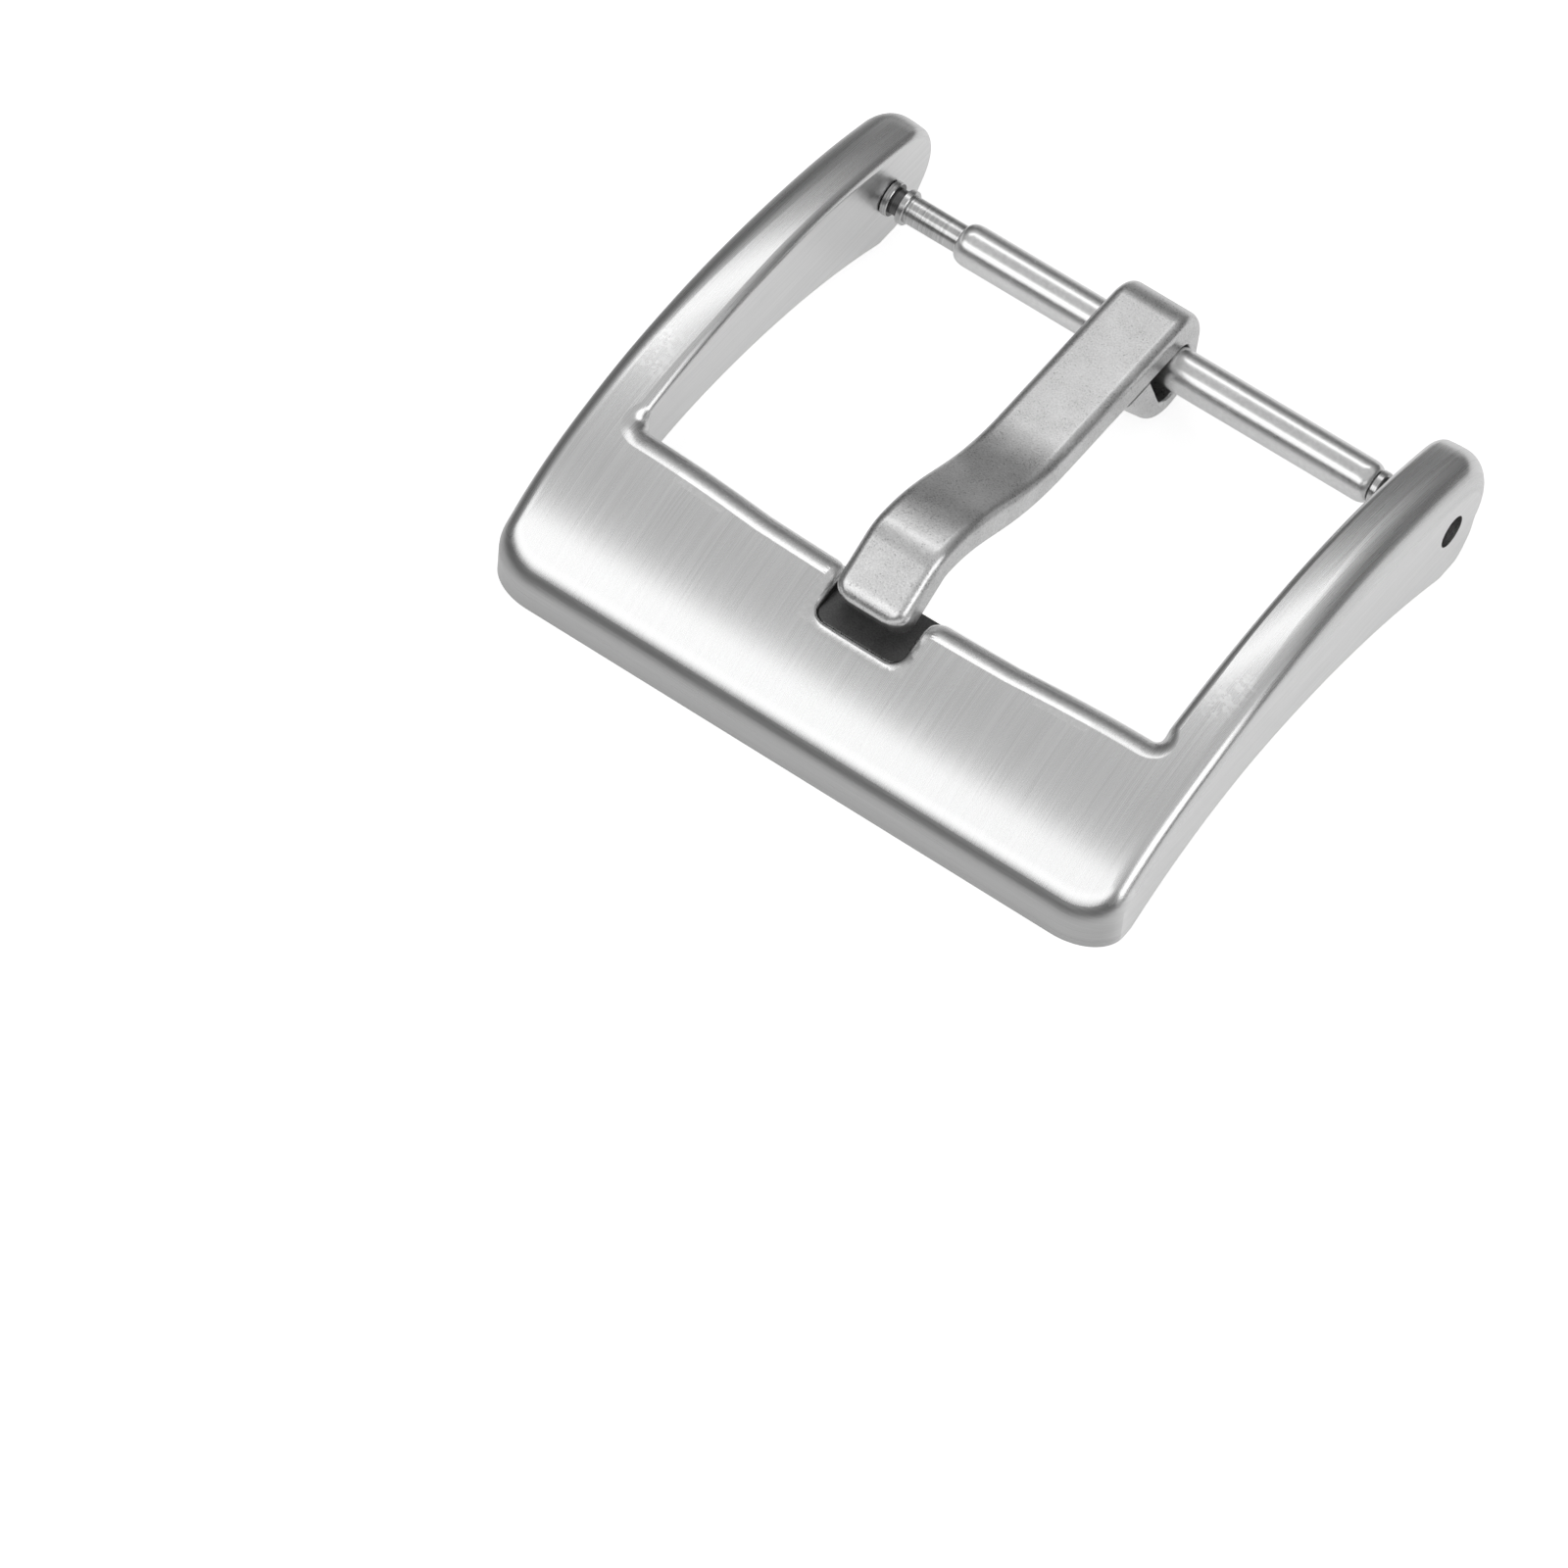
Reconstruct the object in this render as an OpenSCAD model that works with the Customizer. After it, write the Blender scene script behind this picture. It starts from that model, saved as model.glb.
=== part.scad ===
// Pin buckle for a 20 mm watch strap, with its double-flange spring bar.
// X runs along the spring bar, the front bar of the frame lies toward -Y and +Z is up.
// The origin is the middle of the arm-to-arm gap, on the spring bar's axis.

/* [Frame] */
// Width of the strap that lies between the arms
strap_w = 20; // [14:0.5:26]
// Free space between the strap and each arm
strap_gap = 0.1; // [0.05:0.05:0.3]
// Thickness of each arm along the bar
arm_t = 2.05; // [1.7:0.05:3]
// From the bar's axis to the front face
front_reach = 19.6; // [19:0.1:22]
// Height of the front face
front_h = 1.3; // [0.9:0.05:1.6]
// Slope of the top behind the front face, in degrees
slope_a = 36; // [32:1:38]
// Radius of the brow between that slope and the crown
brow_r = 11; // [6:0.5:13]
// From the bar's axis up to the crown of the arch
crown_h = 3.05; // [2.9:0.05:3.4]
// From the bar's axis forward to that crown
crown_reach = 6.3; // [5.5:0.1:7]
// Radius of the crown in front of its highest line
crown_r = 29; // [26:0.5:32]
// From the bar's axis to the rear end of the arms
rear_reach = 2.72; // [2.3:0.02:3]
// Radius of that rounded rear end
rear_r = 2.1; // [1.8:0.05:2.2]
// From the bar's axis down to the surface that the buckle rests on
rest_depth = 2.2; // [2:0.05:2.3]
// How far the arched underside rises above that surface
arch_rise = 2; // [1.2:0.05:2]
// From the bar's axis forward to the underside's highest line
arch_reach = 10.3; // [9:0.1:11]
// Length of the flat foot behind the front face
foot_len = 1.7; // [1.2:0.1:2.4]
// From the bar's axis forward to the rear foot
heel_reach = 0.3; // [0.3:0.02:1.2]
// Rounding of the outer upper edges
edge_r = 0.6; // [0.3:0.05:0.7]
// Rounding of the front bar's edge towards the window
lip_r = 1; // [0.8:0.05:1.25]
// Rounding of the arms' edges towards the window
arm_lip_r = 0.3; // [0.2:0.05:0.6]
// How far the arms' tops are domed
arm_dome = 0.15; // [0.05:0.05:0.3]
// Length along the bar of each rounded front corner
corner_x = 1.9; // [1.5:0.1:2.6]
// Length across the bar of each rounded front corner
corner_y = 1.3; // [1:0.1:2]

/* [Window] */
// From the bar's axis to the front edge of the window, at its corners
window_reach = 13.7; // [13.5:0.1:14.2]
// How far that edge bows forward in its middle
window_bow = 0.3; // [0.1:0.05:0.4]
// Rounding of the window's front corners
window_r = 0.35; // [0.2:0.05:0.6]

/* [Notch] */
// Free space between the tongue and each side of the notch
notch_gap = 0.26; // [0.2:0.01:0.5]
// From the bar's axis to the notch's front wall
notch_reach = 16.2; // [16.05:0.05:16.6]
// Rounding of the notch's front corners
notch_r = 0.45; // [0.3:0.05:0.7]
// Rounding where the notch opens into the window
flare_r = 0.6; // [0.4:0.05:0.9]

/* [Tongue] */
// Width of the tongue
tongue_w = 2.75; // [2:0.05:4]
// Thickness of the strip that the tongue is bent from
tongue_t = 1.2; // [1:0.05:1.25]
// Length of the level part in front of the bar
level_len = 6.3; // [5.5:0.1:7]
// Softness of the bend at the level part's end
level_pull = 3.2; // [2:0.1:3.6]
// Softness of that bend at the hump's end
hump_pull = 2.6; // [2:0.1:3]
// How far the hump rises above the level part
hump_rise = 1.74; // [1.5:0.02:2]
// From the bar's axis to the top of the hump
hump_reach = 13.2; // [12.8:0.1:13.4]
// Radius of the hump
hump_r = 1.7; // [1.5:0.1:2]
// Downward slope of the tip, in degrees
tip_a = 32; // [29:1:34]
// From the bar's axis to the tip's upper edge
tip_reach = 15.9; // [15.7:0.05:16]
// How far the tip's lower edge lies ahead of a square cut
tip_rake = 0.45; // [0:0.05:0.6]
// Rounding of the tip's corners, seen from above
tip_r = 0.6; // [0.3:0.05:0.7]
// Rounding of the tip's upper edge
tip_drop = 0.3; // [0.1:0.05:0.4]
// Rounding of the strip's outer edges
strip_r = 0.3; // [0.2:0.02:0.35]
// Rounding of the edges inside the bend
inside_r = 0.12; // [0.05:0.01:0.2]
// Space between the tip and the floor of the notch
tip_gap = 0.04; // [0.03:0.01:0.1]
// Free space between the eye and the tube
eye_gap = 0.06; // [0.04:0.01:0.1]
// From the bar's axis to the rear of the eye
eye_reach = 1.5; // [1.5:0.05:1.8]
// Radius of the outside of the eye at the top and rear
eye_r = 1.5; // [1.3:0.05:1.55]
// Radius of the outside of the eye at the bottom
curl_r = 1.6; // [1.5:0.02:1.7]
// Thickness of the strip at the bottom of the eye
curl_t = 0.75; // [0.6:0.05:0.8]
// Turn of the curl's bottom, in degrees
curl_a = 143; // [138:1:148]
// From the bar's axis forward to the inner end of the curl
curl_end = 1.55; // [1.3:0.05:1.8]
// How far the eye stands clear of the resting surface
curl_lift = 0.04; // [0.03:0.01:0.1]
// Seam between the end of the curl and the strip above it
seam_gap = 0.05; // [0.04:0.01:0.1]

/* [Spring bar] */
// Outer diameter of the tube
tube_d = 1.5; // [1.4:0.05:1.6]
// Length of the tube
tube_len = 16.3; // [15.5:0.1:16.3]
// Wall of the tube
tube_wall = 0.15; // [0.12:0.01:0.18]
// Length of each swaged mouth
mouth_len = 0.45; // [0.35:0.05:0.7]
// Diameter of each plunger's rod
rod_d = 1; // [0.9:0.01:1.05]
// Diameter of the two flanges on each plunger
flange_d = 1.26; // [1.24:0.01:1.34]
// Thickness of each flange
flange_t = 0.25; // [0.2:0.01:0.3]
// Width of the groove between the flanges
groove_w = 0.35; // [0.25:0.01:0.4]
// Diameter of the groove's floor
groove_d = 0.94; // [0.8:0.01:0.96]
// Diameter of the tip that enters the arm
tip_d = 0.98; // [0.8:0.02:1]
// Length of that tip, its dome included
tip_len = 1; // [0.9:0.05:1.4]
// Radial clearance of the tip in the arm
hole_gap = 0.1; // [0.05:0.01:0.12]
// Space between each outer flange and its arm
seat_gap = 0.04; // [0.03:0.01:0.08]
// Length of rod and head inside the tube at full reach
hold_len = 2.4; // [2:0.1:3]
// Length of the head that keeps a plunger in the tube
head_len = 0.8; // [0.5:0.05:1]
// Radial clearance of the sliding fits
run_gap = 0.03; // [0.02:0.01:0.04]

/* [Spring] */
// Diameter of the spring's wire
wire_d = 0.2; // [0.15:0.01:0.22]
// Number of turns
spring_turns = 11; // [6:1:14]

/* [Hidden] */

$fn = 64;
steel = [0.78, 0.78, 0.78];
bright_steel = [0.88, 0.88, 0.88];
satin_steel = [0.7, 0.7, 0.7];
spring_steel = [0.55, 0.55, 0.56];
over = 1;

inner_x = strap_w / 2 + strap_gap;
outer_x = inner_x + arm_t;
hole_d = tip_d + 2 * hole_gap;

// Points on an arc about c, from angle a0 to a1.
function arc(c, r, a0, a1, n) = [for (i = [0:n]) c + r * [cos(a0 + (a1 - a0) * i / n), sin(a0 + (a1 - a0) * i / n)]];

// Points that divide the line from p to q into n parts, its ends included.
function divide(p, q, n) = [for (i = [0:n]) p + (q - p) * i / n];

function reversed(v) = [for (i = [len(v) - 1:-1:0]) v[i]];

function middle(ring) = [for (c = [0:2]) let (v = [for (p = ring) p[c]]) (min(v) + max(v)) / 2];

// Solid through rings of equally many points. Each end is closed by triangles about its middle.
module loft(rings) {
    m = len(rings[0]);
    n = len(rings);
    points = concat([for (ring = rings) each ring], [middle(rings[0]), middle(rings[n - 1])]);
    walls = [
        for (i = [0:n - 2], j = [0:m - 1])
            let (a = i * m + j, b = i * m + (j + 1) % m)
            each [[a, a + m, b], [b, a + m, b + m]]
    ];
    caps = [
        for (j = [0:m - 1])
            let (k = (j + 1) % m, last = (n - 1) * m)
            each [[j, k, n * m], [last + k, last + j, n * m + 1]]
    ];
    polyhedron(points = points, faces = concat(walls, caps), convexity = 8);
}

// The frame's side profile: a front slope, a brow, a crown and a rounded rear end, each tangent to the next.
slope_foot = [-front_reach, front_h - rest_depth];
slope_dir = [cos(slope_a), sin(slope_a)];
crown_c = [-crown_reach, crown_h - crown_r];
brow_from_crown = slope_foot + brow_r * [sin(slope_a), -cos(slope_a)] - crown_c;
brow_along = brow_from_crown * slope_dir;
brow_span = pow(crown_r - brow_r, 2) - brow_from_crown * brow_from_crown;
slope_len = sqrt(pow(brow_along, 2) + brow_span) - brow_along;
brow_c = crown_c + brow_from_crown + slope_len * slope_dir;
brow_front = slope_foot[0] + slope_len * slope_dir[0];
brow_rear = crown_c[0] + (brow_c[0] - crown_c[0]) * crown_r / (crown_r - brow_r);
rear_c = [rear_reach - rear_r, rear_r - rest_depth];
rear_run = rear_c[0] + crown_reach;
rear_drop = crown_h - rear_c[1];
back_r = (pow(rear_run, 2) + pow(rear_drop, 2) - pow(rear_r, 2)) / (2 * (rear_drop - rear_r));
back_c = [-crown_reach, crown_h - back_r];
rear_a = atan2(rear_c[1] - back_c[1], rear_c[0] - back_c[0]);
arch_front_run = front_reach - foot_len - arch_reach;
arch_rear_run = arch_reach - heel_reach;

function circle_top(c, r, y) = c[1] + sqrt(pow(r, 2) - pow(y - c[0], 2));
function arch_r(run) = (pow(run, 2) + pow(arch_rise, 2)) / (2 * arch_rise);

// Height of the top at y.
function top_z(y) =
    y < brow_front ? slope_foot[1] + (y - slope_foot[0]) * tan(slope_a)
    : y < brow_rear ? circle_top(brow_c, brow_r, y)
    : y < -crown_reach ? circle_top(crown_c, crown_r, y)
    : circle_top(back_c, back_r, y);

// Slope of the top at y, in degrees.
function top_a(y) =
    y < brow_front ? slope_a
    : y < brow_rear ? asin((brow_c[0] - y) / brow_r)
    : y < -crown_reach ? asin((crown_c[0] - y) / crown_r)
    : asin((back_c[0] - y) / back_r);

// Height of the underside at y.
function under_z(y) =
    let (ahead = y < -arch_reach, r = arch_r(ahead ? arch_front_run : arch_rear_run))
    y + arch_reach < -arch_front_run || y + arch_reach > arch_rear_run
    ? -rest_depth
    : circle_top([-arch_reach, arch_rise - rest_depth - r], r, y);

round_n = 4;
across_n = 6;
lip_start = 8.5;
lip_blend = 4;
dome_blend = 4;
arm_middle = outer_x - arm_t / 2;
side_start = window_r - window_reach;

// Smooth step from 0 to 1.
function ease(t) = let (u = min(1, max(0, t))) u * u * (3 - 2 * u);

// Rounding of the edge towards the window at y. It widens where an arm runs into the front bar.
function lip_at(y) = arm_lip_r + (lip_r - arm_lip_r) * ease((-y - lip_start) / lip_blend);

// How far the domed top lies below the side profile at x and y. The dome ends before the front bar.
function dome(x, y) = arm_dome * pow((x - arm_middle) / (arm_t / 2), 2) * ease((y - side_start) / dome_blend);

// One rib of the frame. It runs from the outer face over the top to the window and back underneath.
// o and i are its outer and inner points in the X-Y plane, with their outward directions.
function rib(o, o_out, i, i_out) =
    let (
        stretch = 1 / cos(top_a(o[1]) * abs(o_out[0])),
        lip = lip_at(o[1]),
        outer = [
            for (k = [0:round_n])
                let (a = 90 * k / round_n, p = o - o_out * edge_r * (1 - cos(a)))
                [p[0], p[1], top_z(p[1]) - stretch * edge_r * (1 - sin(a)) - dome(p[0], p[1])]
        ],
        inner = [
            for (k = [round_n:-1:0])
                let (a = 90 * k / round_n, p = i - i_out * lip * (1 - cos(a)))
                [p[0], p[1], top_z(p[1]) - lip * (1 - sin(a)) - dome(p[0], p[1])]
        ],
        across = divide(outer[round_n], inner[0], across_n),
        under = divide(i, o, across_n)
    )
    concat(
        outer,
        [
            for (k = [1:across_n - 1])
                let (p = across[k])
                [p[0], p[1], top_z(p[1]) - dome(p[0], p[1])]
        ],
        inner,
        [for (p = under) [p[0], p[1], under_z(p[1])]]
    );

// One rib of an arm's rear part, whose rounding stands square to the profile. Its points over the top
// are places across the arm with their distances below the profile.
// t is the profile's point on top, t_out its outward direction and b the point underneath.
function rear_rib(t, t_out, b, fade) =
    let (
        lip = lip_at(t[0]),
        outer = [
            for (k = [0:round_n])
                let (a = 90 * k / round_n)
                [outer_x - edge_r * (1 - cos(a)), edge_r * (1 - sin(a))]
        ],
        inner = [
            for (k = [round_n:-1:0])
                let (a = 90 * k / round_n)
                [inner_x + lip * (1 - cos(a)), lip * (1 - sin(a))]
        ],
        across = divide(outer[round_n], inner[0], across_n),
        over_top = concat(outer, [for (k = [1:across_n - 1]) across[k]], inner),
        under = divide([inner_x, b[0], b[1]], [outer_x, b[0], b[1]], across_n)
    )
    concat(
        [
            for (p = over_top)
                let (q = t - t_out * fade * (p[1] + dome(p[0], t[0])))
                [p[0], q[0], q[1]]
        ],
        under
    );

rear_n = 10;
back_n = 8;
arm_n = 3;
side_n = 5;
corner_n = 7;
front_n = 6;
rear_stop_a = -84;
fade_a = 50;
fade_end = 0.1;
arm_joint = -9.6;
heel_step = 0.6;
rear_top = rear_c[0] + rear_r * cos(rear_a);

// Where the window's front edge lies at x.
function window_y(x) = -window_reach - window_bow * (1 - pow(x / inner_x, 2));

rear_ribs = [
    for (k = [rear_n:-1:0])
        let (a = rear_a + (rear_stop_a - rear_a) * k / rear_n, out = [cos(a), sin(a)])
        rear_rib(
            rear_c + rear_r * out,
            out,
            [rear_c[0] - heel_step * (1 - k / rear_n), -rest_depth],
            min(1, fade_end + (a - rear_stop_a) / fade_a)
        )
];
back_ribs = [
    for (k = [1:back_n])
        let (
            y = rear_top + (arm_joint - rear_top) * k / back_n,
            low = rear_c[0] - heel_step,
            b = low + (arm_joint - low) * k / back_n
        )
        rear_rib([y, top_z(y)], [-sin(top_a(y)), cos(top_a(y))], [b, under_z(b)], 1)
];
arm_ribs = [
    for (k = [1:arm_n])
        let (y = arm_joint + (side_start - arm_joint) * k / arm_n)
        rib([outer_x, y], [1, 0], [inner_x, y], [-1, 0])
];
corner_c = [outer_x - corner_x, corner_y - front_reach];
fan_n = side_n + corner_n;
fan_ribs = [
    for (k = [1:fan_n])
        let (
            w = -90 * k / fan_n,
            i = [inner_x - window_r, side_start] + window_r * [cos(w), sin(w)],
            a = -90 * max(0, k - side_n) / corner_n,
            o = k < side_n
                ? [outer_x, side_start + (corner_c[1] - side_start) * k / side_n]
                : corner_c + [corner_x * cos(a), corner_y * sin(a)],
            n = [corner_y * cos(a), corner_x * sin(a)]
        )
        rib(o, n / norm(n), i, [-cos(w), -sin(w)])
];
front_ribs = [
    for (k = [1:front_n])
        let (
            x = (inner_x - window_r) * (1 - k / front_n),
            ease = min(1, 2 * k / front_n)
        )
        rib(
            [corner_c[0] * (1 - k / front_n), -front_reach],
            [0, -1],
            [x, -window_reach + ease * (window_y(x) + window_reach)],
            [0, 1]
        )
];
right_ribs = concat(rear_ribs, back_ribs, arm_ribs, fan_ribs, front_ribs);
left_ribs = [for (r = right_ribs) [for (p = r) [-p[0], p[1], p[2]]]];
frame_ribs = concat(left_ribs, [for (k = [len(right_ribs) - 2:-1:0]) right_ribs[k]]);

// The tongue's outline from the side. Each pair holds the strip's outer and inner point.
eye_in_r = tube_d / 2 + eye_gap;
level_z = eye_in_r + tongue_t;
hump_c = [-hump_reach, level_z + hump_rise - hump_r];
tip_in = [sin(tip_a), -cos(tip_a)];
tip_bend = hump_c + hump_r * [-sin(tip_a), cos(tip_a)];
tip_len_y = tip_reach + tip_bend[0];
tip_top = tip_bend - [tip_len_y, tip_len_y * tan(tip_a)];
tip_low = tip_top + tongue_t * tip_in - tip_rake * [cos(tip_a), sin(tip_a)];
curl_c = [eye_reach - curl_r, curl_r + curl_lift - rest_depth];
curl_out = [cos(curl_a), -sin(curl_a)];
curl_dir = [-sin(curl_a), -cos(curl_a)];
curl_top = eye_in_r - seam_gap;
curl_foot = curl_c + curl_r * curl_out;
curl_tip = curl_foot + curl_dir * (curl_top - curl_foot[1]) / curl_dir[1];

// The strip's bend between the hump and the level part.
bend = [
    [-hump_reach, level_z + hump_rise],
    [hump_pull - hump_reach, level_z + hump_rise],
    [-level_len - level_pull, level_z],
    [-level_len, level_z]
];
function bezier(p, t) =
    pow(1 - t, 3) * p[0] + 3 * t * pow(1 - t, 2) * p[1] + 3 * pow(t, 2) * (1 - t) * p[2] + pow(t, 3) * p[3];
function bezier_dir(p, t) =
    let (d = pow(1 - t, 2) * (p[1] - p[0]) + 2 * t * (1 - t) * (p[2] - p[1]) + pow(t, 2) * (p[3] - p[2]))
    d / norm(d);

tip_n = 5;
hump_n = 7;
bend_n = 16;
eye_n = 8;
curl_n = 12;
end_n = 4;
tip_dir = [cos(tip_a), sin(tip_a)];
tip_pairs = [
    for (k = [0:tip_n])
        [
            divide(tip_top + tip_r * tip_dir, tip_bend, tip_n)[k],
            divide(tip_low + tip_r * tip_dir, tip_bend + tongue_t * tip_in, tip_n)[k]
        ]
];
hump_pairs = [
    for (k = [1:hump_n])
        let (a = tip_a * (1 - k / hump_n), out = [-sin(a), cos(a)])
        [hump_c + hump_r * out, hump_c + (hump_r - tongue_t) * out]
];
bend_pairs = [
    for (k = [1:bend_n])
        let (p = bezier(bend, k / bend_n), d = bezier_dir(bend, k / bend_n))
        [p, p + tongue_t * [d[1], -d[0]]]
];
eye_pairs = [
    for (k = [0:eye_n])
        let (a = 90 * (1 - k / eye_n), out = [cos(a), sin(a)])
        [[eye_reach - eye_r, level_z - eye_r] + eye_r * out, eye_in_r * out]
];
curl_pairs = [
    for (k = [0:curl_n])
        let (a = -curl_a * k / curl_n, out = [cos(a), sin(a)])
        [curl_c + curl_r * out, curl_c + (curl_r - curl_t) * out]
];
curl_wall = [curl_c + (curl_r - curl_t) * curl_out, [-curl_end, curl_top]];
end_pairs = [
    for (k = [1:end_n])
        [divide(curl_foot, curl_tip, end_n)[k], divide(curl_wall[0], curl_wall[1], end_n)[k]]
];

// Section of the strip between an outer and an inner point, with rounded edges.
// inset narrows it at each side and drop lowers its outer face.
function strip_section(pair, inset, drop) =
    let (
        up = (pair[0] - pair[1]) / norm(pair[0] - pair[1]),
        half = tongue_w / 2 - inset,
        top = pair[0] - up * drop,
        turn = [for (k = [0:round_n]) 90 * k / round_n],
        low_side = [
            for (a = turn)
                let (p = pair[1] + up * inside_r * (1 - cos(a)))
                [half - inside_r * (1 - sin(a)), p[0], p[1]]
        ],
        top_side = [
            for (a = turn)
                let (p = top - up * strip_r * (1 - sin(a)))
                [half - strip_r * (1 - cos(a)), p[0], p[1]]
        ],
        side = concat(low_side, top_side)
    )
    concat(side, [for (p = reversed(side)) [-p[0], p[1], p[2]]]);

tip_sections = [
    for (k = [0:round_n - 1])
        let (a = 90 * (1 - k / round_n), shift = tip_r * (1 - sin(a)) * tip_dir)
        strip_section([tip_top + shift, tip_low + shift], tip_r * (1 - cos(a)), tip_drop * (1 - cos(a)))
];
tongue_pairs = concat(tip_pairs, hump_pairs, bend_pairs, eye_pairs, curl_pairs, end_pairs);

// The notch seen from above, with its mouth flared into the window.
floor_z = tip_low[1] - tip_gap;
notch_half = tongue_w / 2 + notch_gap;
notch_mouth = window_reach + window_bow;
turn_n = 5;
notch_right = concat(
    arc([notch_half - notch_r, notch_r - notch_reach], notch_r, -90, 0, turn_n),
    arc([notch_half + flare_r, -notch_mouth - flare_r], flare_r, 180, 90, turn_n),
    [[notch_half + flare_r, lip_r - window_reach]]
);
notch_outline = concat(notch_right, [for (p = reversed(notch_right)) [-p[0], p[1]]]);

// The spring bar along X. The tube rests against the right plunger's inner flange.
flange_outer_x = inner_x - seat_gap;
groove_outer_x = flange_outer_x - flange_t;
groove_inner_x = groove_outer_x - groove_w;
flange_inner_x = groove_inner_x - flange_t;
right_mouth_x = flange_inner_x - run_gap;
left_mouth_x = right_mouth_x - tube_len;
tube_in_r = tube_d / 2 - tube_wall;
mouth_r = rod_d / 2 + run_gap;
head_r = tube_in_r - run_gap;
head_x = -left_mouth_x - hold_len;
swage_n = 6;
tip_chamfer = 0.2;

spring_r = tube_in_r - run_gap - wire_d / 2;
spring_half = head_x - wire_d / 2 - run_gap;
spring_sides = 6;
turn_steps = 12;

module buckle_frame() {
    color(steel)
        difference() {
            loft(frame_ribs);
            rotate([0, 90, 0])
                cylinder(d = hole_d, h = 2 * (outer_x + over), center = true);
            translate([0, 0, floor_z])
                linear_extrude(height = crown_h)
                    polygon(notch_outline);
        }
}

module tongue() {
    color(satin_steel)
        loft(concat(tip_sections, [for (pair = tongue_pairs) strip_section(pair, 0, 0)]));
}

module spring_bar_tube() {
    swage = tube_d / 2 - mouth_r;
    shell = [
        for (k = [0:swage_n])
            let (a = 90 * k / swage_n)
            [mouth_r + swage * sin(a), mouth_len * (1 - cos(a))]
    ];
    bore = [[tube_in_r, mouth_len + tube_wall], [mouth_r, mouth_len]];
    color(bright_steel)
        translate([left_mouth_x, 0, 0])
            rotate([0, 90, 0])
                rotate_extrude()
                    polygon(concat(
                        shell,
                        [for (p = reversed(shell)) [p[0], tube_len - p[1]]],
                        [for (p = reversed(bore)) [p[0], tube_len - p[1]]],
                        bore
                    ));
}

// A plunger that points to the right, turned about X.
module plunger() {
    tip_radius = tip_d / 2;
    rotate([0, 90, 0])
        rotate_extrude()
            polygon([
                [0, head_x],
                [head_r - run_gap, head_x],
                [head_r, head_x + run_gap],
                [head_r, head_x + head_len],
                [rod_d / 2, head_x + head_len],
                [rod_d / 2, flange_inner_x],
                [flange_d / 2, flange_inner_x],
                [flange_d / 2, groove_inner_x],
                [groove_d / 2, groove_inner_x],
                [groove_d / 2, groove_outer_x],
                [flange_d / 2, groove_outer_x],
                [flange_d / 2, flange_outer_x],
                [tip_radius, flange_outer_x],
                [tip_radius, flange_outer_x + tip_len - tip_chamfer],
                [tip_radius - tip_chamfer, flange_outer_x + tip_len],
                [0, flange_outer_x + tip_len]
            ]);
}

module left_plunger() {
    color(bright_steel)
        mirror([1, 0, 0])
            plunger();
}

module right_plunger() {
    color(bright_steel)
        plunger();
}

module bar_spring() {
    steps = spring_turns * turn_steps;
    run = 2 * spring_half / steps;
    color(spring_steel)
        loft([
            for (k = [0:steps])
                let (a = 360 * k / turn_steps, x = run * k - spring_half)
                [
                    for (j = [0:spring_sides - 1])
                        let (b = 360 * j / spring_sides, r = spring_r + wire_d / 2 * cos(b))
                        [x + wire_d / 2 * sin(b), r * cos(a), r * sin(a)]
                ]
        ]);
}

buckle_frame();
tongue();
spring_bar_tube();
left_plunger();
right_plunger();
bar_spring();
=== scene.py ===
# %% [markdown]
# # A steel pin buckle for a watch strap
# The buckle has three visible parts. A cast and brushed frame arches over the end of the strap,
# a bent and bead-blasted tongue points through a hole of the strap, and a sprung bar holds both.
# The frame, the tongue and the bar are modelled here again, finer than the CAD solids that they
# stand for. Lengths are in millimetres while a piece is modelled, and it is scaled to metres when it
# is finished.

# %% Load the CAD frame
import math

import bpy
from mathutils import Matrix, Vector


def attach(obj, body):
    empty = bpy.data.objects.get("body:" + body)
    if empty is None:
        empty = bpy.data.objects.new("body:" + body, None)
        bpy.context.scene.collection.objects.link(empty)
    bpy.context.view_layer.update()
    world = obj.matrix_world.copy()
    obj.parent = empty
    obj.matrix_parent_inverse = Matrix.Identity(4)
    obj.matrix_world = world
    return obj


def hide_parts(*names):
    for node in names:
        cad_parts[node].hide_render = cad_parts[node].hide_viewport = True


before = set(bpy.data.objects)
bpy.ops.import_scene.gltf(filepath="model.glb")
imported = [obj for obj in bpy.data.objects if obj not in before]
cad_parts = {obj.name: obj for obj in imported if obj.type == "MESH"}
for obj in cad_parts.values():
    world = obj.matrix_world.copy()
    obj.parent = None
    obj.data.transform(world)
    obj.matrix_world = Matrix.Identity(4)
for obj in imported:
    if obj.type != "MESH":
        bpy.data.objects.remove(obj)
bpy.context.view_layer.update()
MM = 0.001
print("CAD nodes:", sorted(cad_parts))

# %% [markdown]
# ## Camera
# The photograph was taken from the front right, high above the table, with a long lens.
# The camera's axes and place come from straight edges and circles of the buckle that the photo shows.
# A camera could be aimed by hand, but then edges would drift by a few pixels when the two are compared.

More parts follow.
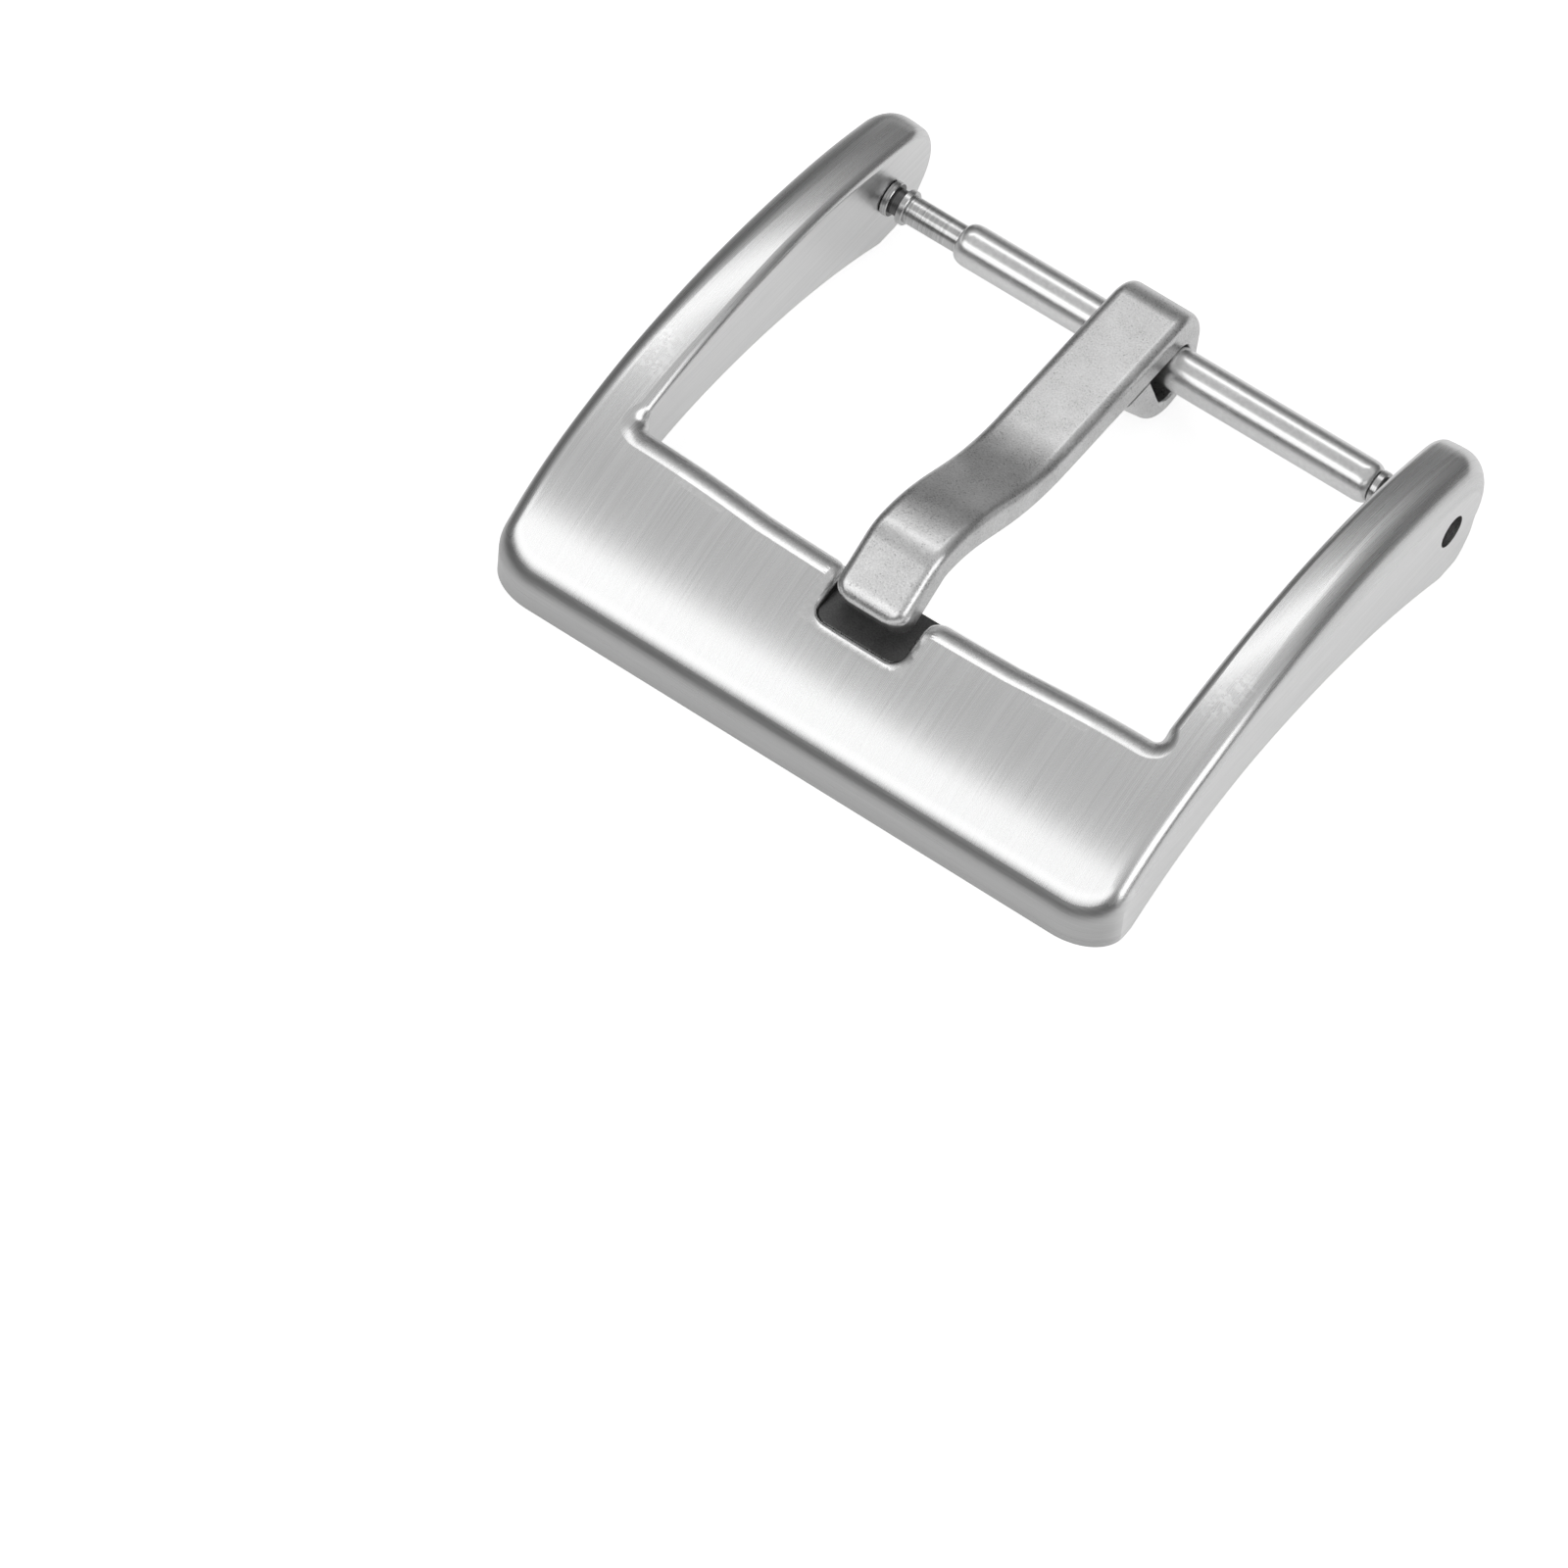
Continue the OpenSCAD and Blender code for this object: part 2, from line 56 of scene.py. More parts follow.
# %% Camera
camera_data = bpy.data.cameras.new("camera")
camera_data.lens = 239.66
camera_data.sensor_width = 36
camera_data.clip_start = 0.01
camera = bpy.data.objects.new("camera", camera_data)
bpy.context.scene.collection.objects.link(camera)
camera_right = Vector((0.810117, 0.583043, 0.061409))
camera_up = Vector((-0.501923, 0.635624, 0.586563))
camera_back = Vector((0.302958, -0.506007, 0.807573))
camera_place = Vector((100.472, -187.432, 264.868)) * MM
turn = Matrix((camera_right, camera_up, camera_back)).transposed().to_4x4()
camera.matrix_world = Matrix.Translation(camera_place) @ turn
bpy.context.scene.camera = camera
bpy.context.scene.view_settings.view_transform = "Standard"
print("camera distance in mm:", round(camera_place.length / MM, 1))

# %% [markdown]
# ## Small helpers
# An operator acts on everything that is selected, so each step first selects exactly what it means.
# `pick` does that by place: it is given a test and selects the vertices, edges or faces that pass it.


# %% Selecting by place
def deselect_all():
    if bpy.context.object and bpy.context.object.mode != "OBJECT":
        bpy.ops.object.mode_set(mode="OBJECT")
    bpy.ops.object.select_all(action="DESELECT")


def make_active(piece):
    deselect_all()
    piece.select_set(True)
    bpy.context.view_layer.objects.active = piece


def pick(piece, kind, test):
    make_active(piece)
    bpy.ops.object.mode_set(mode="EDIT")
    bpy.ops.mesh.select_mode(type=kind)
    bpy.ops.mesh.select_all(action="DESELECT")
    bpy.ops.object.mode_set(mode="OBJECT")
    mesh = piece.data
    picked = 0
    if kind == "FACE":
        for face in mesh.polygons:
            face.select = test(face.center)
            picked += face.select
    elif kind == "EDGE":
        for edge in mesh.edges:
            edge.select = all(test(mesh.vertices[v].co) for v in edge.vertices)
            picked += edge.select
    else:
        for vertex in mesh.vertices:
            vertex.select = test(vertex.co)
            picked += vertex.select
    bpy.ops.object.mode_set(mode="EDIT")
    return picked


def near(a, b):
    return abs(a - b) < 0.001


# %% [markdown]
# ## A straight bar to start from
# The frame is one bar of steel that runs round three sides of the window, and the tongue is one strip
# that is bent. Both are easiest to round while they are straight: the long edges are then plain lines,
# and one bevel each gives a clean round-over. Modelling them bent and rounding them afterwards is
# also possible, but bevels pinch where they turn a corner.
# So a grid is extruded to a straight bar, bevelled, and only then laid on its path, row by row.


# %% Straight bar
def straight_bar(name, columns, rows, width, depth):
    deselect_all()
    bpy.ops.mesh.primitive_grid_add(x_subdivisions=columns, y_subdivisions=rows, size=1)
    bar = bpy.context.object
    bar.name = name
    bpy.ops.object.mode_set(mode="EDIT")
    bpy.ops.mesh.select_all(action="SELECT")
    bpy.ops.transform.resize(value=(width, rows, 1))
    bpy.ops.transform.translate(value=(width / 2, rows / 2, 0))
    bpy.ops.mesh.extrude_region_move(TRANSFORM_OT_translate={"value": (0, 0, -depth)})
    bpy.ops.mesh.select_all(action="SELECT")
    bpy.ops.mesh.normals_make_consistent(inside=False)
    bpy.ops.object.mode_set(mode="OBJECT")
    return bar


def round_long_edge(bar, x, z, radius, segments):
    pick(bar, "EDGE", lambda p: near(p.x, x) and near(p.z, z))
    bpy.ops.mesh.bevel(
        offset=radius, offset_type="OFFSET", segments=segments, profile=0.5, clamp_overlap=False
    )
    bpy.ops.object.mode_set(mode="OBJECT")


def lay_on_path(bar, place):
    for vertex in bar.data.vertices:
        vertex.co = place(vertex.co.x, round(vertex.co.y), -vertex.co.z)
    bar.data.update()


# %% Normals and modifiers
def recalculate_normals(piece):
    make_active(piece)
    bpy.ops.object.mode_set(mode="EDIT")
    bpy.ops.mesh.select_all(action="SELECT")
    bpy.ops.mesh.normals_make_consistent(inside=False)
    bpy.ops.object.mode_set(mode="OBJECT")


def apply_modifier(piece, kind, **values):
    make_active(piece)
    modifier = piece.modifiers.new(kind.lower(), kind)
    for key, value in values.items():
        setattr(modifier, key, value)
    bpy.ops.object.modifier_apply(modifier=modifier.name)


# %% [markdown]
# ## The frame seen from the side
# From the side, the top is a flat slope behind the front face, then a tight brow, a long flat crown
# and a rounded rear end round the spring bar's hole. The underside is hollowed by a shallow arch,
# so that the buckle follows the wrist. Each curve of the top is an arc that runs smoothly into the
# next. A drawn curve would need its points placed by eye, and arcs need only their radii.

# %% Side profile
STRAP_HALF = 10.1
ARM_T = 2.05
OUTER_X = STRAP_HALF + ARM_T
FRONT_REACH = 19.6
REST_DEPTH = 2.2
SLOPE = math.radians(36)
CROWN_Y = -6.3
CROWN_Z = 3.05
CROWN_R = 29.0
BROW_R = 11.0
FOOT_HIGH = 1.3
ARCH_Y = -10.3
ARCH_RISE = 2.0
FOOT_LEN = 1.7
HEEL_Y = -0.3
REAR_R = 2.1
REAR_REACH = 2.709
EDGE_R = 0.6
LIP_R = 1.15

slope_foot = Vector((-FRONT_REACH, FOOT_HIGH - REST_DEPTH))
slope_dir = Vector((math.cos(SLOPE), math.sin(SLOPE)))
crown_c = Vector((CROWN_Y, CROWN_Z - CROWN_R))
brow_from_crown = slope_foot + BROW_R * Vector((slope_dir.y, -slope_dir.x)) - crown_c
brow_along = brow_from_crown.dot(slope_dir)
brow_span = (CROWN_R - BROW_R) ** 2 - brow_from_crown.length_squared
slope_len = math.sqrt(brow_along**2 + brow_span) - brow_along
brow_c = crown_c + brow_from_crown + slope_len * slope_dir
brow_front = slope_foot.x + slope_len * slope_dir.x
brow_rear = crown_c.x + (brow_c.x - crown_c.x) * CROWN_R / (CROWN_R - BROW_R)
rear_c = Vector((REAR_REACH - REAR_R, REAR_R - REST_DEPTH))
rear_run = rear_c.x - CROWN_Y
rear_drop = CROWN_Z - rear_c.y
back_r = (rear_run**2 + rear_drop**2 - REAR_R**2) / (2 * (rear_drop - REAR_R))
back_c = Vector((CROWN_Y, CROWN_Z - back_r))
rear_a = math.atan2(rear_c.y - back_c.y, rear_c.x - back_c.x)
print("slope length:", round(slope_len, 2), "rear arc starts at:", round(math.degrees(rear_a), 1))


# %% Heights and slopes along the side
def on_circle(centre, radius, y):
    return centre.y + math.sqrt(radius**2 - (y - centre.x) ** 2)


def top_z(y):
    if y < brow_front:
        return slope_foot.y + (y - slope_foot.x) * math.tan(SLOPE)
    if y < brow_rear:
        return on_circle(brow_c, BROW_R, y)
    if y < CROWN_Y:
        return on_circle(crown_c, CROWN_R, y)
    return on_circle(back_c, back_r, y)


def top_angle(y):
    if y < brow_front:
        return SLOPE
    if y < brow_rear:
        return math.asin((brow_c.x - y) / BROW_R)
    if y < CROWN_Y:
        return math.asin((crown_c.x - y) / CROWN_R)
    return math.asin((back_c.x - y) / back_r)


def under_z(y):
    front_run = FRONT_REACH - FOOT_LEN + ARCH_Y
    rear_run_low = HEEL_Y - ARCH_Y
    run = front_run if y < ARCH_Y else rear_run_low
    if y - ARCH_Y < -front_run or y - ARCH_Y > rear_run_low:
        return -REST_DEPTH
    radius = (run**2 + ARCH_RISE**2) / (2 * ARCH_RISE)
    return on_circle(Vector((ARCH_Y, ARCH_RISE - REST_DEPTH - radius)), radius, y)


# %% [markdown]
# ## The frame seen from above
# From above, the frame is a U. The straight bar's rows become ribs: each rib crosses the steel from
# the outside of the U to the window, and stands square to both where it can.
# A row is one of two kinds. An upright row goes straight across an arm, with its top on the side
# profile and its foot on the underside. A plan row follows a line in the plan from the outside to the
# window. It serves at the arm's front end, round the corner and along the front bar.

# %% Ribs of the right half
REAR_ROWS = 30
BACK_ROWS = 34
ARM_ROWS = 12
SIDE_ROWS = 12
CORNER_ROWS = 26
FRONT_ROWS = 34
REAR_STOP = math.radians(-84)
HEEL_ROUND = 0.1
ROUND_FADE = math.radians(50)
ARM_JOINT = -9.6
HEEL_STEP = 0.6
WINDOW_Y = -13.7
WINDOW_BOW = 0.3
WINDOW_R = 0.35
CORNER_X = 1.9
CORNER_Y = 1.3
BAR_W = 26.0
BAR_DEPTH = 4.0


def window_front(x):
    return WINDOW_Y - WINDOW_BOW * (1 - (x / STRAP_HALF) ** 2)


def rear_rows():
    for k in range(REAR_ROWS + 1):
        share = k / REAR_ROWS
        a = REAR_STOP + (rear_a - REAR_STOP) * share
        out = Vector((math.cos(a), math.sin(a)))
        under = Vector((rear_c.x - HEEL_STEP * share, -REST_DEPTH))
        fade = min(1.0, HEEL_ROUND + (a - REAR_STOP) / ROUND_FADE)
        yield ("upright", (rear_c + REAR_R * out, out, under, fade))
    top_start = rear_c.x + REAR_R * math.cos(rear_a)
    for k in range(1, BACK_ROWS + 1):
        y = top_start + (ARM_JOINT - top_start) * k / BACK_ROWS
        under_start = rear_c.x - HEEL_STEP
        b = under_start + (ARM_JOINT - under_start) * k / BACK_ROWS
        a = top_angle(y)
        out = Vector((-math.sin(a), math.cos(a)))
        yield ("upright", (Vector((y, top_z(y))), out, Vector((b, under_z(b))), 1.0))


# %% Ribs of the corner and the front bar
def front_rows():
    side_start = WINDOW_Y + WINDOW_R
    for k in range(1, ARM_ROWS + 1):
        y = ARM_JOINT + (side_start - ARM_JOINT) * k / ARM_ROWS
        yield ("plan", (Vector((OUTER_X, y)), Vector((1, 0)), Vector((STRAP_HALF, y)), Vector((-1, 0))))
    corner = Vector((OUTER_X - CORNER_X, CORNER_Y - FRONT_REACH))
    turns = SIDE_ROWS + CORNER_ROWS
    for k in range(1, turns + 1):
        w = -math.pi / 2 * k / turns
        a = -math.pi / 2 * max(0, k - SIDE_ROWS) / CORNER_ROWS
        inner = Vector((STRAP_HALF - WINDOW_R, side_start)) + WINDOW_R * Vector((math.cos(w), math.sin(w)))
        outer = corner + Vector((CORNER_X * math.cos(a), CORNER_Y * math.sin(a)))
        if k < SIDE_ROWS:
            outer = Vector((OUTER_X, side_start + (corner.y - side_start) * k / SIDE_ROWS))
        out = Vector((CORNER_Y * math.cos(a), CORNER_X * math.sin(a))).normalized()
        yield ("plan", (outer, out, inner, Vector((-math.cos(w), -math.sin(w)))))
    for k in range(1, FRONT_ROWS + 1):
        share = k / FRONT_ROWS
        x = (STRAP_HALF - WINDOW_R) * (1 - share)
        bow = min(1.0, 2 * share)
        outer = Vector((corner.x * (1 - share), -FRONT_REACH))
        inner = Vector((x, WINDOW_Y + bow * (window_front(x) - WINDOW_Y)))
        yield ("plan", (outer, Vector((0, -1)), inner, Vector((0, 1))))


rows = list(rear_rows()) + list(front_rows())
print("rows of the right half:", len(rows))

# %% [markdown]
# ## Laying the bar on the ribs
# Across a rib, the rounded edges keep the size they are given and the part between them stretches.
# Heights are taken from the side profile, so the round-overs ride on it. The arms are slightly domed,
# with a small edge towards the window. Through the corner, as the rows turn, that edge widens to the
# polished lip of the front bar. A bevel with a changing width could do it too, but it would have to be
# set edge by edge.


# %% Sizes of the edges
REAR_EDGE = 1.8
FRONT_EDGE = 1.1
EDGE_TURN_Y = -2.5
EDGE_TURN = 9.5
ARM_DOME = 0.09
ARM_LIP = 0.28
CORNER_LIP = 0.08
LIP_TURN_Y = -9
DOME_STOP_Y = -13.3
FADE = 4
ARM_MIDDLE = OUTER_X - ARM_T / 2
LIP_WIDEN = 0.92
LIP_FLAT = 0.72
LIP_TILT = 0.17


def ease(share):
    share = min(1.0, max(0.0, share))
    return share * share * (3 - 2 * share)


def edge_widening(y):
    return REAR_EDGE + (FRONT_EDGE - REAR_EDGE) * ease((EDGE_TURN_Y - y) / EDGE_TURN)


def lip_size(y, turn):
    arm = ARM_LIP + CORNER_LIP * ease((LIP_TURN_Y - y) / FADE)
    return arm + (1 - arm) * ease(turn)


def dome(x, y):
    return ARM_DOME * ((abs(x) - ARM_MIDDLE) / (ARM_T / 2)) ** 2 * ease((y - DOME_STOP_Y) / FADE)


# %% Across a rib
def across(a, widen, narrow, outer, outer_in, inner, inner_in):
    if a <= EDGE_R:
        return outer + outer_in * a * widen
    if a >= BAR_W - LIP_R:
        return inner + inner_in * (BAR_W - a) * LIP_WIDEN * narrow
    share = (a - EDGE_R) / (BAR_W - LIP_R - EDGE_R)
    return (outer + outer_in * EDGE_R * widen).lerp(inner + inner_in * LIP_R * LIP_WIDEN * narrow, share)


def lip_fall(depth_in, drop):
    return LIP_FLAT * drop + LIP_TILT * max(0.0, LIP_R - depth_in)


def edge_drop(a, y, turn, drop):
    if a <= EDGE_R:
        return drop * edge_widening(y)
    if a >= BAR_W - LIP_R:
        return lip_fall(BAR_W - a, drop) * lip_size(y, turn)
    return drop


# %% Lay the bar on its ribs
def on_upright_rib(a, drop, top, top_out, under, fade):
    if drop > BAR_DEPTH / 2:
        return (OUTER_X + (STRAP_HALF - OUTER_X) * a / BAR_W, under.x, under.y)
    y = top.x
    ends = (Vector((OUTER_X, 0)), Vector((-1, 0)), Vector((STRAP_HALF, 0)), Vector((1, 0)))
    x = across(a, edge_widening(y), lip_size(y, 0.0), *ends).x
    place = top - top_out * (edge_drop(a, y, 0.0, drop) + dome(x, y)) * fade
    return (x, place.x, place.y)


def on_plan_rib(a, drop, outer, outer_out, inner, inner_out):
    if drop > BAR_DEPTH / 2:
        low = outer.lerp(inner, a / BAR_W)
        return (low.x, low.y, under_z(low.y))
    y = outer.y
    narrow = lip_size(y, inner_out.y)
    place = across(a, edge_widening(y), narrow, outer, -outer_out, inner, -inner_out)
    stretch = 1.0
    if a <= EDGE_R:
        stretch = 1 / math.cos(top_angle(y) * abs(outer_out.x))
    fall = stretch * edge_drop(a, y, inner_out.y, drop)
    return (place.x, place.y, top_z(place.y) - fall - dome(place.x, place.y))


def on_rib(a, row, drop):
    kind, ends = rows[row]
    if kind == "upright":
        return on_upright_rib(a, drop, *ends)
    return on_plan_rib(a, drop, *ends)


buckle_frame = straight_bar(
    "buckle_frame_steel", columns=20, rows=len(rows) - 1, width=BAR_W, depth=BAR_DEPTH
)
round_long_edge(buckle_frame, x=0, z=0, radius=EDGE_R, segments=10)
round_long_edge(buckle_frame, x=BAR_W, z=0, radius=LIP_R, segments=16)
end_faces = pick(buckle_frame, "FACE", lambda p: near(p.y, len(rows) - 1))
bpy.ops.mesh.delete(type="FACE")
bpy.ops.object.mode_set(mode="OBJECT")
lay_on_path(buckle_frame, on_rib)
apply_modifier(buckle_frame, "MIRROR", use_axis=(True, False, False), merge_threshold=0.0005)
recalculate_normals(buckle_frame)
print("frame faces:", len(buckle_frame.data.polygons), "open end faces taken off:", end_faces)

# %% [markdown]
# ## The hole and the notch
# The tips of the spring bar turn in a drilled hole through both arms, and the tongue rests in a milled
# notch in the front bar. Both are cut with a boolean, as a drill and a mill would.
# The notch's upper edge is a narrow chamfer that ends in a rounding. The cutter is a stack of rings
# that widen towards the top by that edge, because a bevel after the boolean would have to cross
# many small faces of the crown.

# %% Drilled hole
HOLE_R = 0.59


def cut(piece, cutter):
    apply_modifier(piece, "BOOLEAN", operation="DIFFERENCE", solver="EXACT", object=cutter)
    bpy.data.objects.remove(cutter, do_unlink=True)


deselect_all()
bpy.ops.mesh.primitive_cylinder_add(
    vertices=128, radius=HOLE_R, depth=2 * OUTER_X + 2, end_fill_type="TRIFAN", rotation=(0, math.pi / 2, 0)
)
bore = bpy.context.object
make_active(bore)
bpy.ops.object.transform_apply(location=True, rotation=True, scale=True)
cut(buckle_frame, bore)
print("faces with the hole:", len(buckle_frame.data.polygons))

# %% Outline of the notch
TONGUE_W = 2.75
NOTCH_GAP = 0.26
NOTCH_HALF = TONGUE_W / 2 + NOTCH_GAP
NOTCH_FRONT = -16.2
NOTCH_R = 0.45
FLARE_R = 0.6
FRONT_STEPS = 9
ROUND_STEPS = 10
SIDE_STEPS = 8
FLARE_STEPS = 14


def arc(centre, radius, start, stop, steps):
    points = []
    for k in range(steps + 1):
        a = math.radians(start + (stop - start) * k / steps)
        out = Vector((math.cos(a), math.sin(a)))
        points.append((Vector(centre) + radius * out, out))
    return points


def notch_side():
    mouth = WINDOW_Y - WINDOW_BOW
    points = []
    for k in range(FRONT_STEPS):
        x = (NOTCH_HALF - NOTCH_R) * k / FRONT_STEPS
        points.append((Vector((x, NOTCH_FRONT)), Vector((0, -1)), 1.0))
    corner = (NOTCH_HALF - NOTCH_R, NOTCH_FRONT + NOTCH_R)
    for place, out in arc(corner, NOTCH_R, -90, 0, ROUND_STEPS):
        points.append((place, out, 1.0))
    for k in range(1, SIDE_STEPS):
        y = corner[1] + (mouth - FLARE_R - corner[1]) * k / SIDE_STEPS
        points.append((Vector((NOTCH_HALF, y)), Vector((1, 0)), 1.0))
    flare = arc((NOTCH_HALF + FLARE_R, mouth - FLARE_R), FLARE_R, 180, 90, FLARE_STEPS)
    for k, (place, inward) in enumerate(flare):
        points.append((place, -inward, 1 - (k / FLARE_STEPS) ** 2))
    points.append((Vector((NOTCH_HALF + FLARE_R, WINDOW_Y + LIP_R)), Vector((0, 0)), 0.0))
    return points


def mirrored(v):
    return Vector((-v.x, v.y))


right_side = notch_side()
left_side = [(mirrored(place), mirrored(out), share) for place, out, share in reversed(right_side[1:])]
notch_path = right_side + left_side
print("points round the notch:", len(notch_path))

# %% Rings of the notch
NOTCH_EDGE = 0.4
NOTCH_FLOOR = 1.07
CHAMFER = math.radians(21)
CHAMFER_WIDTH = 0.5
RIM_STEPS = 8
ABOVE = 1.0


def lipped_top(x, y):
    depth_in = (window_front(x) - y) / LIP_WIDEN
    if depth_in >= LIP_R:
        return top_z(y)
    depth_in = max(depth_in, 0.0)
    drop = LIP_R - math.sqrt(max(LIP_R**2 - (LIP_R - depth_in) ** 2, 0.0))
    return top_z(y) - lip_fall(depth_in, drop)


def rim(fall):
    return lambda p, share: lipped_top(p.x, p.y) - NOTCH_EDGE * share * fall


def notch_rings():
    round_width = 1 - CHAMFER_WIDTH
    fall = CHAMFER_WIDTH * math.tan(CHAMFER)
    rings = [(1.0, lambda p, share: CROWN_Z + ABOVE), (1.0, rim(0.0))]
    for k in range(RIM_STEPS + 1):
        a = CHAMFER + (math.pi / 2 - CHAMFER) * k / RIM_STEPS
        along = (1 - math.sin(a)) / (1 - math.sin(CHAMFER))
        down = (math.cos(CHAMFER) - math.cos(a)) / (1 - math.sin(CHAMFER))
        rings.append((round_width * along, rim(fall + round_width * down)))
    rings.append((0.0, lambda p, share: NOTCH_FLOOR))
    return rings



# %% Cutter of the notch
def extrude_last_ring(cutter, first):
    # The ring is chosen by its points' numbers, because several rings share a place in the plan.
    pick(cutter, "VERT", lambda p: False)
    bpy.ops.object.mode_set(mode="OBJECT")
    for vertex in cutter.data.vertices:
        vertex.select = vertex.index >= first
    bpy.ops.object.mode_set(mode="EDIT")
    bpy.ops.mesh.extrude_region_move()
    bpy.ops.object.mode_set(mode="OBJECT")


deselect_all()
bpy.ops.mesh.primitive_circle_add(vertices=len(notch_path), radius=1, fill_type="NGON")
notch_cutter = bpy.context.object
rings = notch_rings()
for index, (spread, height) in enumerate(rings):
    first = index * len(notch_path)
    if index:
        extrude_last_ring(notch_cutter, first - len(notch_path))
    for step, (place, out, share) in enumerate(notch_path):
        p = place + out * NOTCH_EDGE * share * spread
        notch_cutter.data.vertices[first + step].co = (p.x, p.y, height(p, share))
recalculate_normals(notch_cutter)
print("cutter vertices:", len(notch_cutter.data.vertices), "rings:", len(rings))
cut(buckle_frame, notch_cutter)
print("faces with the notch:", len(buckle_frame.data.polygons))

# %% [markdown]
# ## The tongue
# The tongue is one strip of steel, bent in a press. Its tip dips into the notch, it humps over the
# strap's hole, runs level, and curls round the bar into an eye that closes with a fine seam.
# It starts as a straight strip with rounded edges, and each row is laid on a pair of points: one on
# the strip's outer face and one on its inner face. A curve modifier could bend the strip too, but it
# would keep one thickness, and the curled end is drawn thinner than the rest.

# %% Bends of the tongue
TONGUE_T = 1.2
TUBE_R = 0.75
EYE_GAP = 0.06
EYE_IN_R = TUBE_R + EYE_GAP
LEVEL_Z = EYE_IN_R + TONGUE_T
HUMP_Y = -13.2
HUMP_R = 1.7
HUMP_RISE = 1.74
TIP_A = math.radians(32)
TIP_Y = -15.9
TIP_RAKE = 0.1
TIP_R = 0.6
TIP_DROP = 0.3
CURL_R = 1.6
CURL_T = 0.75
CURL_TURN = math.radians(143)
EYE_Y = 1.5
EYE_R = 1.5
EYE_LIFT = 0.04
SEAM_Y = -1.55
SEAM_DROP = 0.05
HUMP_PULL = 2.6
LEVEL_Y = -6.3
LEVEL_PULL = 3.2
TONGUE_EDGE = 0.4
TONGUE_BACK_EDGE = 0.12
TIP_ROWS = 8
HUMP_ROWS = 16
BEND_ROWS = 48
EYE_ROWS = 24
CURL_ROWS = 36
END_ROWS = 8

hump_c = Vector((HUMP_Y, LEVEL_Z + HUMP_RISE - HUMP_R))
tip_dir = Vector((math.cos(TIP_A), math.sin(TIP_A)))
tip_in = Vector((math.sin(TIP_A), -math.cos(TIP_A)))
tip_bend = hump_c - HUMP_R * tip_in
tip_top = tip_bend + Vector((TIP_Y - tip_bend.x, (TIP_Y - tip_bend.x) * math.tan(TIP_A)))
tip_low = tip_top + TONGUE_T * tip_in - TIP_RAKE * tip_dir
curl_c = Vector((EYE_Y - CURL_R, CURL_R + EYE_LIFT - REST_DEPTH))
curl_out = Vector((math.cos(CURL_TURN), -math.sin(CURL_TURN)))
curl_dir = Vector((-math.sin(CURL_TURN), -math.cos(CURL_TURN)))
curl_top = EYE_IN_R - SEAM_DROP
curl_foot = curl_c + CURL_R * curl_out
curl_tip = curl_foot + curl_dir * (curl_top - curl_foot.y) / curl_dir.y
print("tip from", [round(v, 2) for v in tip_top], "to", [round(v, 2) for v in tip_low])


# %% Rows of the tongue
def bend_point(t):
    p = [
        Vector((HUMP_Y, LEVEL_Z + HUMP_RISE)),
        Vector((HUMP_Y + HUMP_PULL, LEVEL_Z + HUMP_RISE)),
        Vector((LEVEL_Y - LEVEL_PULL, LEVEL_Z)),
        Vector((LEVEL_Y, LEVEL_Z)),
    ]
    s = 1 - t
    place = s**3 * p[0] + 3 * s * s * t * p[1] + 3 * s * t * t * p[2] + t**3 * p[3]
    way = s * s * (p[1] - p[0]) + 2 * s * t * (p[2] - p[1]) + t * t * (p[3] - p[2])
    return place, way.normalized()


def tongue_rows():
    for k in range(TIP_ROWS):
        a = math.pi / 2 * (1 - k / TIP_ROWS)
        shift = TIP_R * (1 - math.sin(a)) * tip_dir
        yield (tip_top + shift, tip_low + shift, TIP_R * (1 - math.cos(a)), TIP_DROP * (1 - math.cos(a)))
    start = tip_top + TIP_R * tip_dir
    start_low = tip_low + TIP_R * tip_dir
    for k in range(TIP_ROWS + 1):
        share = k / TIP_ROWS
        yield (start.lerp(tip_bend, share), start_low.lerp(tip_bend + TONGUE_T * tip_in, share), 0, 0)
    for k in range(1, HUMP_ROWS + 1):
        a = TIP_A * (1 - k / HUMP_ROWS)
        out = Vector((-math.sin(a), math.cos(a)))
        yield (hump_c + HUMP_R * out, hump_c + (HUMP_R - TONGUE_T) * out, 0, 0)
    for k in range(1, BEND_ROWS + 1):
        place, way = bend_point(k / BEND_ROWS)
        yield (place, place + TONGUE_T * Vector((way.y, -way.x)), 0, 0)
    for k in range(EYE_ROWS + 1):
        a = math.pi / 2 * (1 - k / EYE_ROWS)
        out = Vector((math.cos(a), math.sin(a)))
        yield (Vector((EYE_Y - EYE_R, LEVEL_Z - EYE_R)) + EYE_R * out, EYE_IN_R * out, 0, 0)
    for k in range(CURL_ROWS + 1):
        a = -CURL_TURN * k / CURL_ROWS
        out = Vector((math.cos(a), math.sin(a)))
        yield (curl_c + CURL_R * out, curl_c + (CURL_R - CURL_T) * out, 0, 0)
    wall = curl_c + (CURL_R - CURL_T) * curl_out
    for k in range(1, END_ROWS + 1):
        share = k / END_ROWS
        yield (curl_foot.lerp(curl_tip, share), wall.lerp(Vector((SEAM_Y, curl_top)), share), 0, 0)


strip_rows = list(tongue_rows())
print("rows of the strip:", len(strip_rows))


# %% Lay the strip on its rows
def on_strip(a, row, drop):
    outer, inner, inset, fall = strip_rows[row]
    up = (outer - inner).normalized()
    x = (a - TONGUE_W / 2) * (1 - 2 * inset / TONGUE_W)
    if drop > TONGUE_T / 2:
        place = inner + up * (TONGUE_T - drop)
    else:
        place = outer - up * (fall + drop)
    return (x, place.x, place.y)


